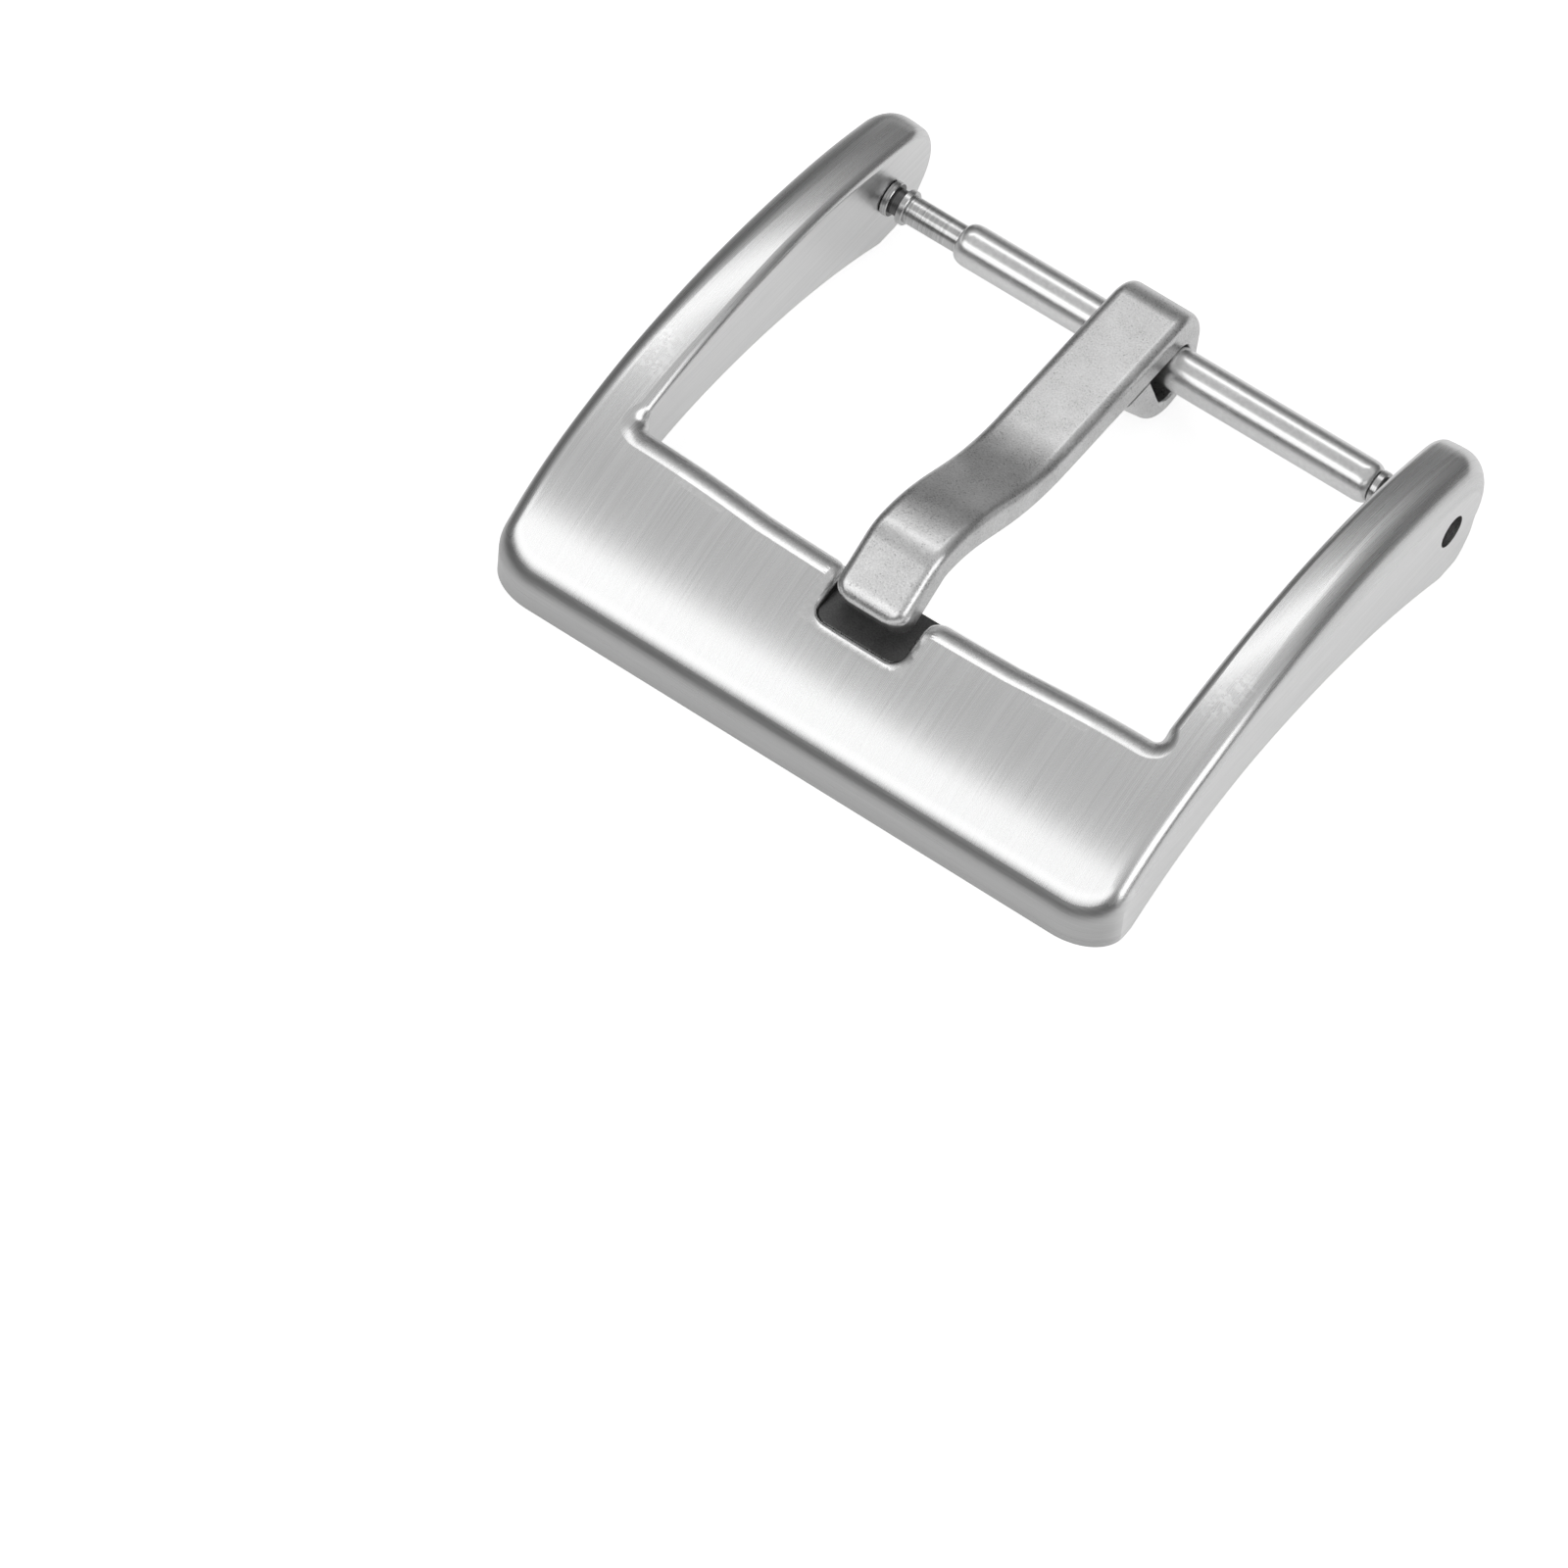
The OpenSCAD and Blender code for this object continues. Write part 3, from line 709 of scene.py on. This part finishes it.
tongue = straight_bar(
    "tongue_steel", columns=3, rows=len(strip_rows) - 1, width=TONGUE_W, depth=TONGUE_T
)
for side in (0, TONGUE_W):
    round_long_edge(tongue, x=side, z=0, radius=TONGUE_EDGE, segments=8)
    round_long_edge(tongue, x=side, z=-TONGUE_T, radius=TONGUE_BACK_EDGE, segments=4)
lay_on_path(tongue, on_strip)
recalculate_normals(tongue)
print("tongue rows:", len(strip_rows), "faces:", len(tongue.data.polygons))

# %% [markdown]
# ## The spring bar
# The bar is turned from round stock: a thin polished tube with its mouths rolled in, and a plunger in
# each end with two flanges, a groove between them for the removal tool, and a tip that enters the arm.
# A lathe part is a profile turned about its axis. Here a ring of points is added at the first
# radius, and each further step of the profile extrudes that ring along the bar and changes its width.
# The spin operator could turn the profile in one go, but a ring that is extruded has no seam along it.


# %% Turned pieces
def turned(name, profile, sides, closed_ring):
    deselect_all()
    x, radius = profile[0]
    bpy.ops.mesh.primitive_circle_add(
        vertices=sides, radius=radius, location=(x, 0, 0), rotation=(0, math.pi / 2, 0), fill_type="NOTHING"
    )
    piece = bpy.context.object
    piece.name = name
    make_active(piece)
    bpy.ops.object.transform_apply(location=True, rotation=True, scale=True)
    bpy.ops.object.mode_set(mode="EDIT")
    bpy.ops.mesh.select_mode(type="EDGE")
    bpy.ops.mesh.select_all(action="SELECT")
    if not closed_ring:
        bpy.ops.mesh.edge_face_add()
    for next_x, next_radius in profile[1:]:
        bpy.ops.mesh.extrude_region_move(TRANSFORM_OT_translate={"value": (next_x - x, 0, 0)})
        bpy.ops.transform.resize(value=(1, next_radius / radius, next_radius / radius))
        x, radius = next_x, next_radius
    bpy.ops.mesh.select_all(action="SELECT")
    bpy.ops.mesh.remove_doubles(threshold=0.0002)
    bpy.ops.mesh.normals_make_consistent(inside=False)
    bpy.ops.object.mode_set(mode="OBJECT")
    return piece


# %% Tube
TURNED_SIDES = 96
SEAT_GAP = 0.04
MOUTH_GAP = 0.03
FLANGE_LEN = 0.25
GROOVE_LEN = 0.35
TUBE_LEN = 16.3
SEAT_X = STRAP_HALF - SEAT_GAP
GROOVE_OUT_X = SEAT_X - FLANGE_LEN
GROOVE_IN_X = GROOVE_OUT_X - GROOVE_LEN
FLANGE_IN_X = GROOVE_IN_X - FLANGE_LEN
RIGHT_MOUTH_X = FLANGE_IN_X - MOUTH_GAP
LEFT_MOUTH_X = RIGHT_MOUTH_X - TUBE_LEN
MOUTH_R = 0.53
MOUTH_LEN = 0.45
MOUTH_CONE = 0.15
TUBE_IN_R = 0.6
ROLL_STEPS = 12

rolled = []
for step in range(ROLL_STEPS + 1):
    a = math.pi / 2 * step / ROLL_STEPS
    rolled.append((MOUTH_LEN * (1 - math.cos(a)), MOUTH_R + (TUBE_R - MOUTH_R) * math.sin(a)))
tube_profile = [(LEFT_MOUTH_X + along, radius) for along, radius in rolled]
tube_profile += [(RIGHT_MOUTH_X - along, radius) for along, radius in reversed(rolled)]
tube_profile += [
    (RIGHT_MOUTH_X - MOUTH_LEN, MOUTH_R),
    (RIGHT_MOUTH_X - MOUTH_LEN - MOUTH_CONE, TUBE_IN_R),
    (LEFT_MOUTH_X + MOUTH_LEN + MOUTH_CONE, TUBE_IN_R),
    (LEFT_MOUTH_X + MOUTH_LEN, MOUTH_R),
    (LEFT_MOUTH_X, MOUTH_R),
]
tube = turned("spring_bar_tube_steel", tube_profile, TURNED_SIDES, closed_ring=True)
print("tube from", round(LEFT_MOUTH_X, 2), "to", round(RIGHT_MOUTH_X, 2), "mm")
print("tube faces:", len(tube.data.polygons))

# %% Plungers
HEAD_DEPTH = 2.4
HEAD_X = -LEFT_MOUTH_X - HEAD_DEPTH
HEAD_R = 0.57
HEAD_LEN = 0.8
NECK_R = 0.5
FLANGE_R = 0.63
GROOVE_R = 0.47
PIN_R = 0.49
PIN_LEN = 1.0
NOSE = 0.2
NOSE_BREAK = 0.07
SOFT = 0.03
plunger_profile = [
    (HEAD_X, HEAD_R - SOFT),
    (HEAD_X + SOFT, HEAD_R),
    (HEAD_X + HEAD_LEN, HEAD_R),
    (HEAD_X + HEAD_LEN, NECK_R),
    (FLANGE_IN_X, NECK_R),
    (FLANGE_IN_X, FLANGE_R - SOFT),
    (FLANGE_IN_X + SOFT, FLANGE_R),
    (GROOVE_IN_X - SOFT, FLANGE_R),
    (GROOVE_IN_X, FLANGE_R - SOFT),
    (GROOVE_IN_X, GROOVE_R),
    (GROOVE_OUT_X, GROOVE_R),
    (GROOVE_OUT_X, FLANGE_R - SOFT),
    (GROOVE_OUT_X + SOFT, FLANGE_R),
    (SEAT_X - SOFT, FLANGE_R),
    (SEAT_X, FLANGE_R - SOFT),
    (SEAT_X, PIN_R),
    (SEAT_X + PIN_LEN - NOSE, PIN_R),
    (SEAT_X + PIN_LEN - NOSE_BREAK, PIN_R - NOSE_BREAK),
    (SEAT_X + PIN_LEN, PIN_R - NOSE),
]
mirrored_profile = [(-x, radius) for x, radius in plunger_profile]
right_plunger = turned("right_plunger_steel", plunger_profile, TURNED_SIDES, closed_ring=False)
left_plunger = turned("left_plunger_steel", mirrored_profile, TURNED_SIDES, closed_ring=False)
print("plunger faces:", len(right_plunger.data.polygons))

# %% [markdown]
# ## Finishing the meshes
# Faces that meet at a shallow angle are shaded as one surface, and the sharper edges stay crisp.
# Weighted normals keep the large flat faces flat beside their small round-overs. Subdividing every
# piece would make it smooth as well, but it would melt the crisp edges of the notch and the flanges.


# %% Smooth shading and scale
SMOOTH_ANGLE = 32


def finish_mesh(piece, angle):
    make_active(piece)
    bpy.ops.object.shade_smooth_by_angle(angle=math.radians(angle))
    apply_modifier(piece, "WEIGHTED_NORMAL", keep_sharp=True, weight=50)
    piece.scale = (MM, MM, MM)
    make_active(piece)
    bpy.ops.object.transform_apply(location=True, rotation=True, scale=True)


for piece in (buckle_frame, tongue, tube, left_plunger, right_plunger):
    finish_mesh(piece, SMOOTH_ANGLE)
    print(piece.name, "size in mm:", [round(v / MM, 2) for v in piece.dimensions])

# %% [markdown]
# ## Helpers for shader nodes
# A material is a tree of nodes. Its pieces are small sums on values: a multiplication, a range that
# is stretched, a mix of two colours. They could be placed one by one, as in the node editor. Here each
# kind is a helper that takes values or sockets and gives back a socket, so a tree reads like a formula.


# %% Node helpers
def grey(level):
    return (level, level, level, 1)


def feed(tree, socket, value):
    if isinstance(value, bpy.types.NodeSocket):
        tree.links.new(value, socket)
    else:
        socket.default_value = value


def calculate(tree, operation, *values):
    node = tree.nodes.new("ShaderNodeMath")
    node.operation = operation
    for socket, value in zip(node.inputs, values):
        feed(tree, socket, value)
    return node.outputs[0]


def map_range(tree, value, start, stop, low=0.0, high=1.0, interpolation="LINEAR"):
    node = tree.nodes.new("ShaderNodeMapRange")
    node.interpolation_type = interpolation
    for name, given in (("Value", value), ("From Min", start), ("From Max", stop)):
        feed(tree, node.inputs[name], given)
    node.inputs["To Min"].default_value = low
    node.inputs["To Max"].default_value = high
    return node.outputs["Result"]


def mix_colors(tree, share, first, second):
    node = tree.nodes.new("ShaderNodeMix")
    node.data_type = "RGBA"
    for index, value in ((0, share), (6, first), (7, second)):
        feed(tree, node.inputs[index], value)
    return node.outputs[2]


def object_coords(tree):
    return tree.nodes.new("ShaderNodeTexCoord").outputs["Object"]


def along(tree, coords, axis):
    split = tree.nodes.new("ShaderNodeSeparateXYZ")
    tree.links.new(coords, split.inputs[0])
    return split.outputs[axis]


# %% [markdown]
# ## Steel finishes
# All the parts are stainless steel. What sets them apart is how each surface was finished, and every
# finish is a pattern of fine marks: long parallel lines from a brushing belt, pits from blasting, rings
# from a lathe. Each pattern is a shader group that gives a colour, a value and a surface normal.
# An image could hold such marks too, but a noise in object coordinates needs no unwrapping.
# The noise is counted in waves per metre. Few waves along one axis draw it out to lines.

# %% Group: marks of a tool
FLOAT = "NodeSocketFloat"
COLOR = "NodeSocketColor"
VECTOR = "NodeSocketVector"
MICRON = 0.000001
FINE_SHARE = 0.7


def group(name, inputs, outputs):
    tree = bpy.data.node_groups.new(name, "ShaderNodeTree")
    for socket, kind, value in inputs:
        made = tree.interface.new_socket(socket, in_out="INPUT", socket_type=kind)
        made.default_value = value
    for socket, kind in outputs:
        tree.interface.new_socket(socket, in_out="OUTPUT", socket_type=kind)
    entry = tree.nodes.new("NodeGroupInput")
    leave = tree.nodes.new("NodeGroupOutput")
    return tree, entry, leave


def stretched_noise(tree, scale, detail):
    mapping = tree.nodes.new("ShaderNodeMapping")
    mapping.inputs["Scale"].default_value = scale
    noise = tree.nodes.new("ShaderNodeTexNoise")
    noise.inputs["Scale"].default_value = 1.0
    noise.inputs["Detail"].default_value = detail
    noise.inputs["Roughness"].default_value = 0.6
    tree.links.new(object_coords(tree), mapping.inputs["Vector"])
    tree.links.new(mapping.outputs["Vector"], noise.inputs["Vector"])
    return noise.outputs["Fac"]


def marks_group(name, fine_scale, broad_scale, microns):
    inputs = [("Depth", FLOAT, 0.3), ("Dark", COLOR, grey(0.5)), ("Light", COLOR, grey(0.8))]
    outputs = [("Color", COLOR), ("Value", FLOAT), ("Normal", VECTOR)]
    tree, entry, leave = group(name, inputs, outputs)
    fine = stretched_noise(tree, fine_scale, 4.0)
    broad = stretched_noise(tree, broad_scale, 2.0)
    broad_part = calculate(tree, "MULTIPLY", broad, 1 - FINE_SHARE)
    both = calculate(tree, "MULTIPLY_ADD", fine, FINE_SHARE, broad_part)
    value = map_range(tree, both, 0.3, 0.7)
    bump = tree.nodes.new("ShaderNodeBump")
    bump.inputs["Distance"].default_value = microns * MICRON
    tree.links.new(entry.outputs["Depth"], bump.inputs["Strength"])
    tree.links.new(fine, bump.inputs["Height"])
    color = mix_colors(tree, value, entry.outputs["Dark"], entry.outputs["Light"])
    tree.links.new(color, leave.inputs["Color"])
    tree.links.new(value, leave.inputs["Value"])
    tree.links.new(bump.outputs["Normal"], leave.inputs["Normal"])
    return tree


# %% Five kinds of marks
brushed_marks = marks_group("brushed lines", (26000, 300, 260), (9000, 160, 140), microns=10)
side_marks = marks_group("brushed side lines", (240, 300, 22000), (120, 90, 5000), microns=10)
blasted_marks = marks_group("blasted pits", (17000, 17000, 17000), (900, 900, 900), microns=6)
polished_marks = marks_group("polishing haze", (7000, 7000, 7000), (900, 900, 900), microns=3)
turned_marks = marks_group("lathe rings", (16000, 60, 60), (3000, 300, 300), microns=10)
print("groups of marks:", len(bpy.data.node_groups))

# %% [markdown]
# ## Spots on a finish
# Two finishes carry spots. Beside the window's front corners, small bright patches of lighter grey are laid
# on the brushed steel as a painted highlight, and the blasting left a few darker pits on the tongue.
# Each is a group that puts out a mask, and a material uses it to lay another grey over its steel.
# A spot could be painted, but a noise keeps its grain at any distance, and the patches fade with the
# distance from a few named places.

# %% Group: patches and pits
HIGHLIGHT_SPOTS = ((11.2, -11.1), (11.1, -11.6), (11.0, -12.1))
HIGHLIGHT_R = 0.65


# Mask for the painted highlight: it fades with the distance from the given places.
def painted_highlight_group(name, places, radius):
    tree, entry, leave = group(name, [("Noise", FLOAT, 5200.0)], [("Mask", FLOAT)])
    coords = object_coords(tree)
    nearest = 1.0
    for place in places:
        gap = tree.nodes.new("ShaderNodeVectorMath")
        gap.operation = "DISTANCE"
        gap.inputs[1].default_value = Vector(place) * MM
        tree.links.new(coords, gap.inputs[0])
        nearest = calculate(tree, "MINIMUM", nearest, gap.outputs["Value"])
    fade = map_range(tree, nearest, radius * MM, 0.0)
    noise = tree.nodes.new("ShaderNodeTexNoise")
    noise.inputs["Detail"].default_value = 5.0
    tree.links.new(coords, noise.inputs["Vector"])
    tree.links.new(entry.outputs["Noise"], noise.inputs["Scale"])
    spread = map_range(tree, noise.outputs["Fac"], 0.46, 0.58)
    tree.links.new(calculate(tree, "MULTIPLY", fade, spread), leave.inputs["Mask"])
    return tree


def pits_group(name, scale, low, high):
    tree, entry, leave = group(name, [("Strength", FLOAT, 0.5)], [("Mask", FLOAT)])
    noise = stretched_noise(tree, (scale, scale, scale), 1.0)
    spread = map_range(tree, noise, low, high)
    mask = calculate(tree, "MULTIPLY", spread, entry.outputs["Strength"])
    tree.links.new(mask, leave.inputs["Mask"])
    return tree


highlight_places = [(side * x, y, top_z(y)) for side in (-1, 1) for x, y in HIGHLIGHT_SPOTS]
painted_highlight_patch = painted_highlight_group("painted highlight patches", highlight_places, HIGHLIGHT_R)
sparse_pits = pits_group("sparse dark pits", scale=9000, low=0.65, high=0.76)
print("all finish groups:", sorted(made.name for made in bpy.data.node_groups))

# %% [markdown]
# ## Steels
# Each steel is a metal whose grey and roughness follow one group of marks: where the value of the marks is
# low the steel is darker and smoother, and where it is high the steel is lighter and rougher. The front
# face's grey is also darkened towards the front. This is a painted shade for the shade under it that the
# real one mirrors. One steel for all would be simpler, but then all surfaces would catch the light alike.

# %% A steel and what is laid over it
FRONT_FADE_START = -18.0
FRONT_FADE_STOP = -19.1
FRONT_SHADE = 0.62
SPOT_ROUGHER = 0.03


def steel(name, marks, depth, greys, roughness):
    material = bpy.data.materials.new(name)
    material.use_nodes = True
    tree = material.node_tree
    shader = tree.nodes["Principled BSDF"]
    shader.inputs["Metallic"].default_value = 1.0
    node = tree.nodes.new("ShaderNodeGroup")
    node.node_tree = marks
    node.inputs["Depth"].default_value = depth
    node.inputs["Dark"].default_value = grey(greys[0])
    node.inputs["Light"].default_value = grey(greys[1])
    rough = map_range(tree, node.outputs["Value"], 0.0, 1.0, roughness[0], roughness[1])
    tree.links.new(node.outputs["Color"], shader.inputs["Base Color"])
    tree.links.new(rough, shader.inputs["Roughness"])
    tree.links.new(node.outputs["Normal"], shader.inputs["Normal"])
    return material


def fed_by(shader, name):
    return shader.inputs[name].links[0].from_socket


# Darkens the base colour along y: a painted shade.
def paint_shade_along_y(material, start, stop, darkest):
    tree = material.node_tree
    shader = tree.nodes["Principled BSDF"]
    place = along(tree, object_coords(tree), "Y")
    fade = map_range(tree, place, start * MM, stop * MM, 1.0, darkest, interpolation="SMOOTHSTEP")
    scale = tree.nodes.new("ShaderNodeVectorMath")
    scale.operation = "SCALE"
    tree.links.new(fed_by(shader, "Base Color"), scale.inputs[0])
    tree.links.new(fade, scale.inputs["Scale"])
    tree.links.new(scale.outputs["Vector"], shader.inputs["Base Color"])


def lay_spots(material, mask_group, level):
    tree = material.node_tree
    shader = tree.nodes["Principled BSDF"]
    node = tree.nodes.new("ShaderNodeGroup")
    node.node_tree = mask_group
    mask = node.outputs["Mask"]
    color = mix_colors(tree, mask, fed_by(shader, "Base Color"), grey(level))
    rough = calculate(tree, "MULTIPLY_ADD", mask, SPOT_ROUGHER, fed_by(shader, "Roughness"))
    tree.links.new(color, shader.inputs["Base Color"])
    tree.links.new(rough, shader.inputs["Roughness"])


# %% Ten steels
brushed_steel = steel("brushed_steel", brushed_marks, 0.16, greys=(0.63, 0.75), roughness=(0.25, 0.3))
# Lighter grey spots beside the window's front corners: a painted highlight.
lay_spots(brushed_steel, painted_highlight_patch, level=0.86)
side_steel = steel("satin_side_steel", side_marks, 0.25, greys=(0.68, 0.8), roughness=(0.27, 0.34))
front_painted_shade_steel = steel("painted_shade_front_steel", side_marks, 0.25, greys=(0.68, 0.8), roughness=(0.26, 0.33))
# The front face's grey is darkened towards the front: painted shade for the shade the real one mirrors from
# under it.
paint_shade_along_y(front_painted_shade_steel, FRONT_FADE_START, FRONT_FADE_STOP, FRONT_SHADE)
lip_steel = steel("hand_finished_steel", polished_marks, 0.4, greys=(0.68, 0.8), roughness=(0.23, 0.29))
# Near-black greys: painted shade for the shadowed recess of the notch.
notch_painted_shade_steel = steel("painted_shade_notch_steel", blasted_marks, 0.6, greys=(0.06, 0.17), roughness=(0.4, 0.6))
blasted_steel = steel("blasted_steel", blasted_marks, 0.9, greys=(0.46, 0.84), roughness=(0.25, 0.36))
lay_spots(blasted_steel, sparse_pits, level=0.2)
tube_steel = steel("polished_tube_steel", polished_marks, 0.3, greys=(0.66, 0.78), roughness=(0.22, 0.28))
lathe_steel = steel("turned_steel", turned_marks, 0.8, greys=(0.35, 0.75), roughness=(0.14, 0.26))
# Near-black greys: painted shade for the plungers' narrow grooves.
groove_painted_shade_steel = steel("painted_shade_groove_steel", turned_marks, 0.8, greys=(0.06, 0.25), roughness=(0.3, 0.45))
wire_steel = steel("drawn_wire_steel", turned_marks, 0.3, greys=(0.45, 0.6), roughness=(0.25, 0.35))
print("steels:", [made.name for made in bpy.data.materials if made.name.endswith("steel")])

# %% [markdown]
# ## Which finish goes where
# On the frame, the belt reached the top and the sides. The lip along the front bar and the edge of the
# notch were polished by hand, so they keep a bright band. The notch itself gets a near-black steel, a
# painted shade for the shadow inside its recess.
# Each face is given its finish by its place and by the way it looks. Separate pieces would show
# seams, and a painted mask would blur where two finishes meet in a crisp line.

# %% Finish by place
BRUSHED, SIDE, LIP, SHADED_NOTCH, FRONT = range(5)
HAIR = 0.02
BELOW_RIM = 0.15
UPRIGHT = 0.98
FRONT_TILT = 0.62
FRONT_FACE = 1.6
CORNER_W = 2.0
LIP_END_Y = -15.5
LIP_END = 1.5
LIP_REAR_Y = -11.5
NOTCH_TOP = 1.0


def notch_distance(x, y):
    if y < NOTCH_FRONT + NOTCH_R:
        return max(abs(x) - NOTCH_HALF, NOTCH_FRONT - y)
    return abs(x) - NOTCH_HALF


def in_notch(x, y, z):
    inside = notch_distance(x, y) < HAIR and y < WINDOW_Y - 0.1
    return inside and NOTCH_FLOOR - HAIR < z < top_z(y) - BELOW_RIM


def on_lip(x, y, z):
    in_corner = abs(x) > STRAP_HALF - CORNER_W
    width = LIP_R * min(1.0, max(0.0, (y - LIP_END_Y) / LIP_END)) if in_corner else LIP_R
    near_window = y > window_front(x) - width and y < LIP_REAR_Y and abs(x) < STRAP_HALF and z > 0
    near_notch = notch_distance(x, y) < NOTCH_EDGE and y < WINDOW_Y and z > NOTCH_TOP
    return near_window or near_notch


def frame_finish(centre, normal):
    x, y, z = (v / MM for v in centre)
    # Faces inside the notch get the steel with painted shade.
    if in_notch(x, y, z):
        return SHADED_NOTCH
    if abs(normal.x) > UPRIGHT and abs(x) > STRAP_HALF - 0.1:
        return SIDE
    # Front faces get the steel with painted shade.
    if normal.z < FRONT_TILT and y < FRONT_FACE - FRONT_REACH:
        return FRONT
    if on_lip(x, y, z):
        return LIP
    return BRUSHED


# %% [markdown]
# ## Dressing the pieces
# The spring inside the tube is never seen, so its CAD node stays and only gets its steel.


# %% Dress and join to the CAD
def dress(piece, body, node, materials):
    piece.data.materials.clear()
    for material in materials:
        piece.data.materials.append(material)
    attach(piece, body)
    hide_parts(node)


frame_steels = [brushed_steel, side_steel, lip_steel, notch_painted_shade_steel, front_painted_shade_steel]
dress(buckle_frame, "frame", "buckle_frame", frame_steels)
for face in buckle_frame.data.polygons:
    face.material_index = frame_finish(face.center, face.normal)
dress(tongue, "tongue", "tongue", [blasted_steel])
dress(tube, "tube", "spring_bar_tube", [tube_steel])
dress(left_plunger, "left_plunger", "left_plunger", [lathe_steel, groove_painted_shade_steel])
dress(right_plunger, "right_plunger", "right_plunger", [lathe_steel, groove_painted_shade_steel])
# Faces in the groove get the steel with painted shade.
for plunger in (left_plunger, right_plunger):
    for face in plunger.data.polygons:
        in_groove = GROOVE_IN_X < abs(face.center.x / MM) < GROOVE_OUT_X
        face.material_index = int(in_groove)
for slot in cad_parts["bar_spring"].material_slots:
    slot.material = wire_steel
for index, material in enumerate(buckle_frame.data.materials):
    count = sum(face.material_index == index for face in buckle_frame.data.polygons)
    print("frame faces of", material.name, count)

# %% [markdown]
# ## The table
# The buckle stands on a plain white table. The camera should see it white, but the steel's underside
# and sloping edges mirror it, and there a softly lit table with a darker side to the left of the
# buckle gives them their tone. One material does both: it asks with Light Path what kind of ray
# arrives. A dark card held beside a real buckle does the same in a studio.

# %% Floor
FLOOR_GAP = 0.02
FLOOR_Z = -REST_DEPTH - FLOOR_GAP
FLOOR_WHITE = 0.8
CAMERA_GLOW = 0.66
MIRRORED_GLOW = 0.3
DARK_X = -22
DARK_SHARE = 0.25
deselect_all()
bpy.ops.mesh.primitive_plane_add(size=3, location=(0, 0, FLOOR_Z * MM))
floor = bpy.context.object
floor.name = "floor"
floor_material = bpy.data.materials.new("white_table")
floor_material.use_nodes = True
tree = floor_material.node_tree
shader = tree.nodes["Principled BSDF"]
shader.inputs["Roughness"].default_value = 0.9
rays = tree.nodes.new("ShaderNodeLightPath")
glossy, through = (rays.outputs[name] for name in ("Is Glossy Ray", "Is Transmission Ray"))
mirrored_ray = calculate(tree, "MAXIMUM", glossy, through)
place = along(tree, object_coords(tree), "X")
share = map_range(tree, place, DARK_X * MM, -OUTER_X * MM, DARK_SHARE, 1.0)
lost = calculate(tree, "MULTIPLY", mirrored_ray, calculate(tree, "SUBTRACT", 1.0, share))
white = calculate(tree, "MULTIPLY_ADD", lost, -FLOOR_WHITE, FLOOR_WHITE)
mirrored_glow = calculate(tree, "MULTIPLY", mirrored_ray, MIRRORED_GLOW)
shaded_glow = calculate(tree, "MULTIPLY", mirrored_glow, share)
level = calculate(tree, "MULTIPLY_ADD", rays.outputs["Is Camera Ray"], CAMERA_GLOW, shaded_glow)
glow = tree.nodes.new("ShaderNodeEmission")
glow.inputs["Color"].default_value = grey(1)
both = tree.nodes.new("ShaderNodeAddShader")
tree.links.new(white, shader.inputs["Base Color"])
tree.links.new(level, glow.inputs["Strength"])
tree.links.new(shader.outputs[0], both.inputs[0])
tree.links.new(glow.outputs[0], both.inputs[1])
tree.links.new(both.outputs[0], tree.nodes["Material Output"].inputs["Surface"])
floor.data.materials.append(floor_material)
print("table at", round(FLOOR_Z, 2), "mm")

# %% [markdown]
# ## The room
# Steel shows mostly what it mirrors. The room is a ramp of greys by height, dark at the horizon and
# light overhead, so the crown is bright and the edges are drawn by the darker band. A photograph of a
# room could be used, but its windows would show in the steel. The camera sees plain white behind.

# %% World
ROOM_GREYS = ((0.3, 0.17), (0.52, 0.24), (0.79, 0.64))
HORIZON_GREY = 0.11
CEILING_GREY = 0.62
world = bpy.data.worlds.new("studio")
bpy.context.scene.world = world
world.use_nodes = True
tree = world.node_tree
background = tree.nodes["Background"]
ramp = tree.nodes.new("ShaderNodeValToRGB")
ramp.color_ramp.elements[0].color = grey(HORIZON_GREY)
ramp.color_ramp.elements[1].color = grey(CEILING_GREY)
for position, level in ROOM_GREYS:
    ramp.color_ramp.elements.new(position).color = grey(level)
direction = tree.nodes.new("ShaderNodeTexCoord").outputs["Generated"]
tree.links.new(along(tree, direction, "Z"), ramp.inputs["Fac"])
rays = tree.nodes.new("ShaderNodeLightPath")
color = mix_colors(tree, rays.outputs["Is Camera Ray"], ramp.outputs["Color"], grey(1))
tree.links.new(color, background.inputs["Color"])
background.inputs["Strength"].default_value = 1.0
print("greys of the room:", len(ramp.color_ramp.elements))

# %% [markdown]
# ## Lamps
# Four soft boxes stand round the buckle. The one in front and above whitens the sloping front, the
# one behind and above lights the crown, the one on the right lights the right arm's side, and a weak
# one stands low behind, for the faces that look back. A lamp's power is spread over its face, so the
# power is worked out from the brightness and the size. A lamp without a size would be simpler, but
# steel would mirror it as a hard point.

# %% Soft boxes
LAMP_DISTANCE = 0.5
LAMP_TARGET = Vector((0, -9, 0)) * MM


def softbox(name, direction, width, height, level):
    lamp_data = bpy.data.lights.new(name, "AREA")
    lamp_data.shape = "RECTANGLE"
    lamp_data.size = width
    lamp_data.size_y = height
    lamp_data.energy = level * math.pi * width * height
    lamp = bpy.data.objects.new(name, lamp_data)
    bpy.context.scene.collection.objects.link(lamp)
    way = Vector(direction).normalized()
    lamp.location = LAMP_TARGET + way * LAMP_DISTANCE
    lamp.rotation_euler = way.to_track_quat("Z", "Y").to_euler()
    print(name, "power in watts:", round(lamp_data.energy, 3))


softbox("front_softbox", (-0.3, -0.72, 0.6), width=0.5, height=0.24, level=1.25)
softbox("rear_softbox", (-0.3, 0.39, 0.87), width=0.4, height=0.11, level=1.3)
softbox("right_softbox", (0.87, -0.12, 0.48), width=0.46, height=0.22, level=1.9)
softbox("low_rear_softbox", (-0.26, 0.9, 0.1), width=0.36, height=0.14, level=0.28)
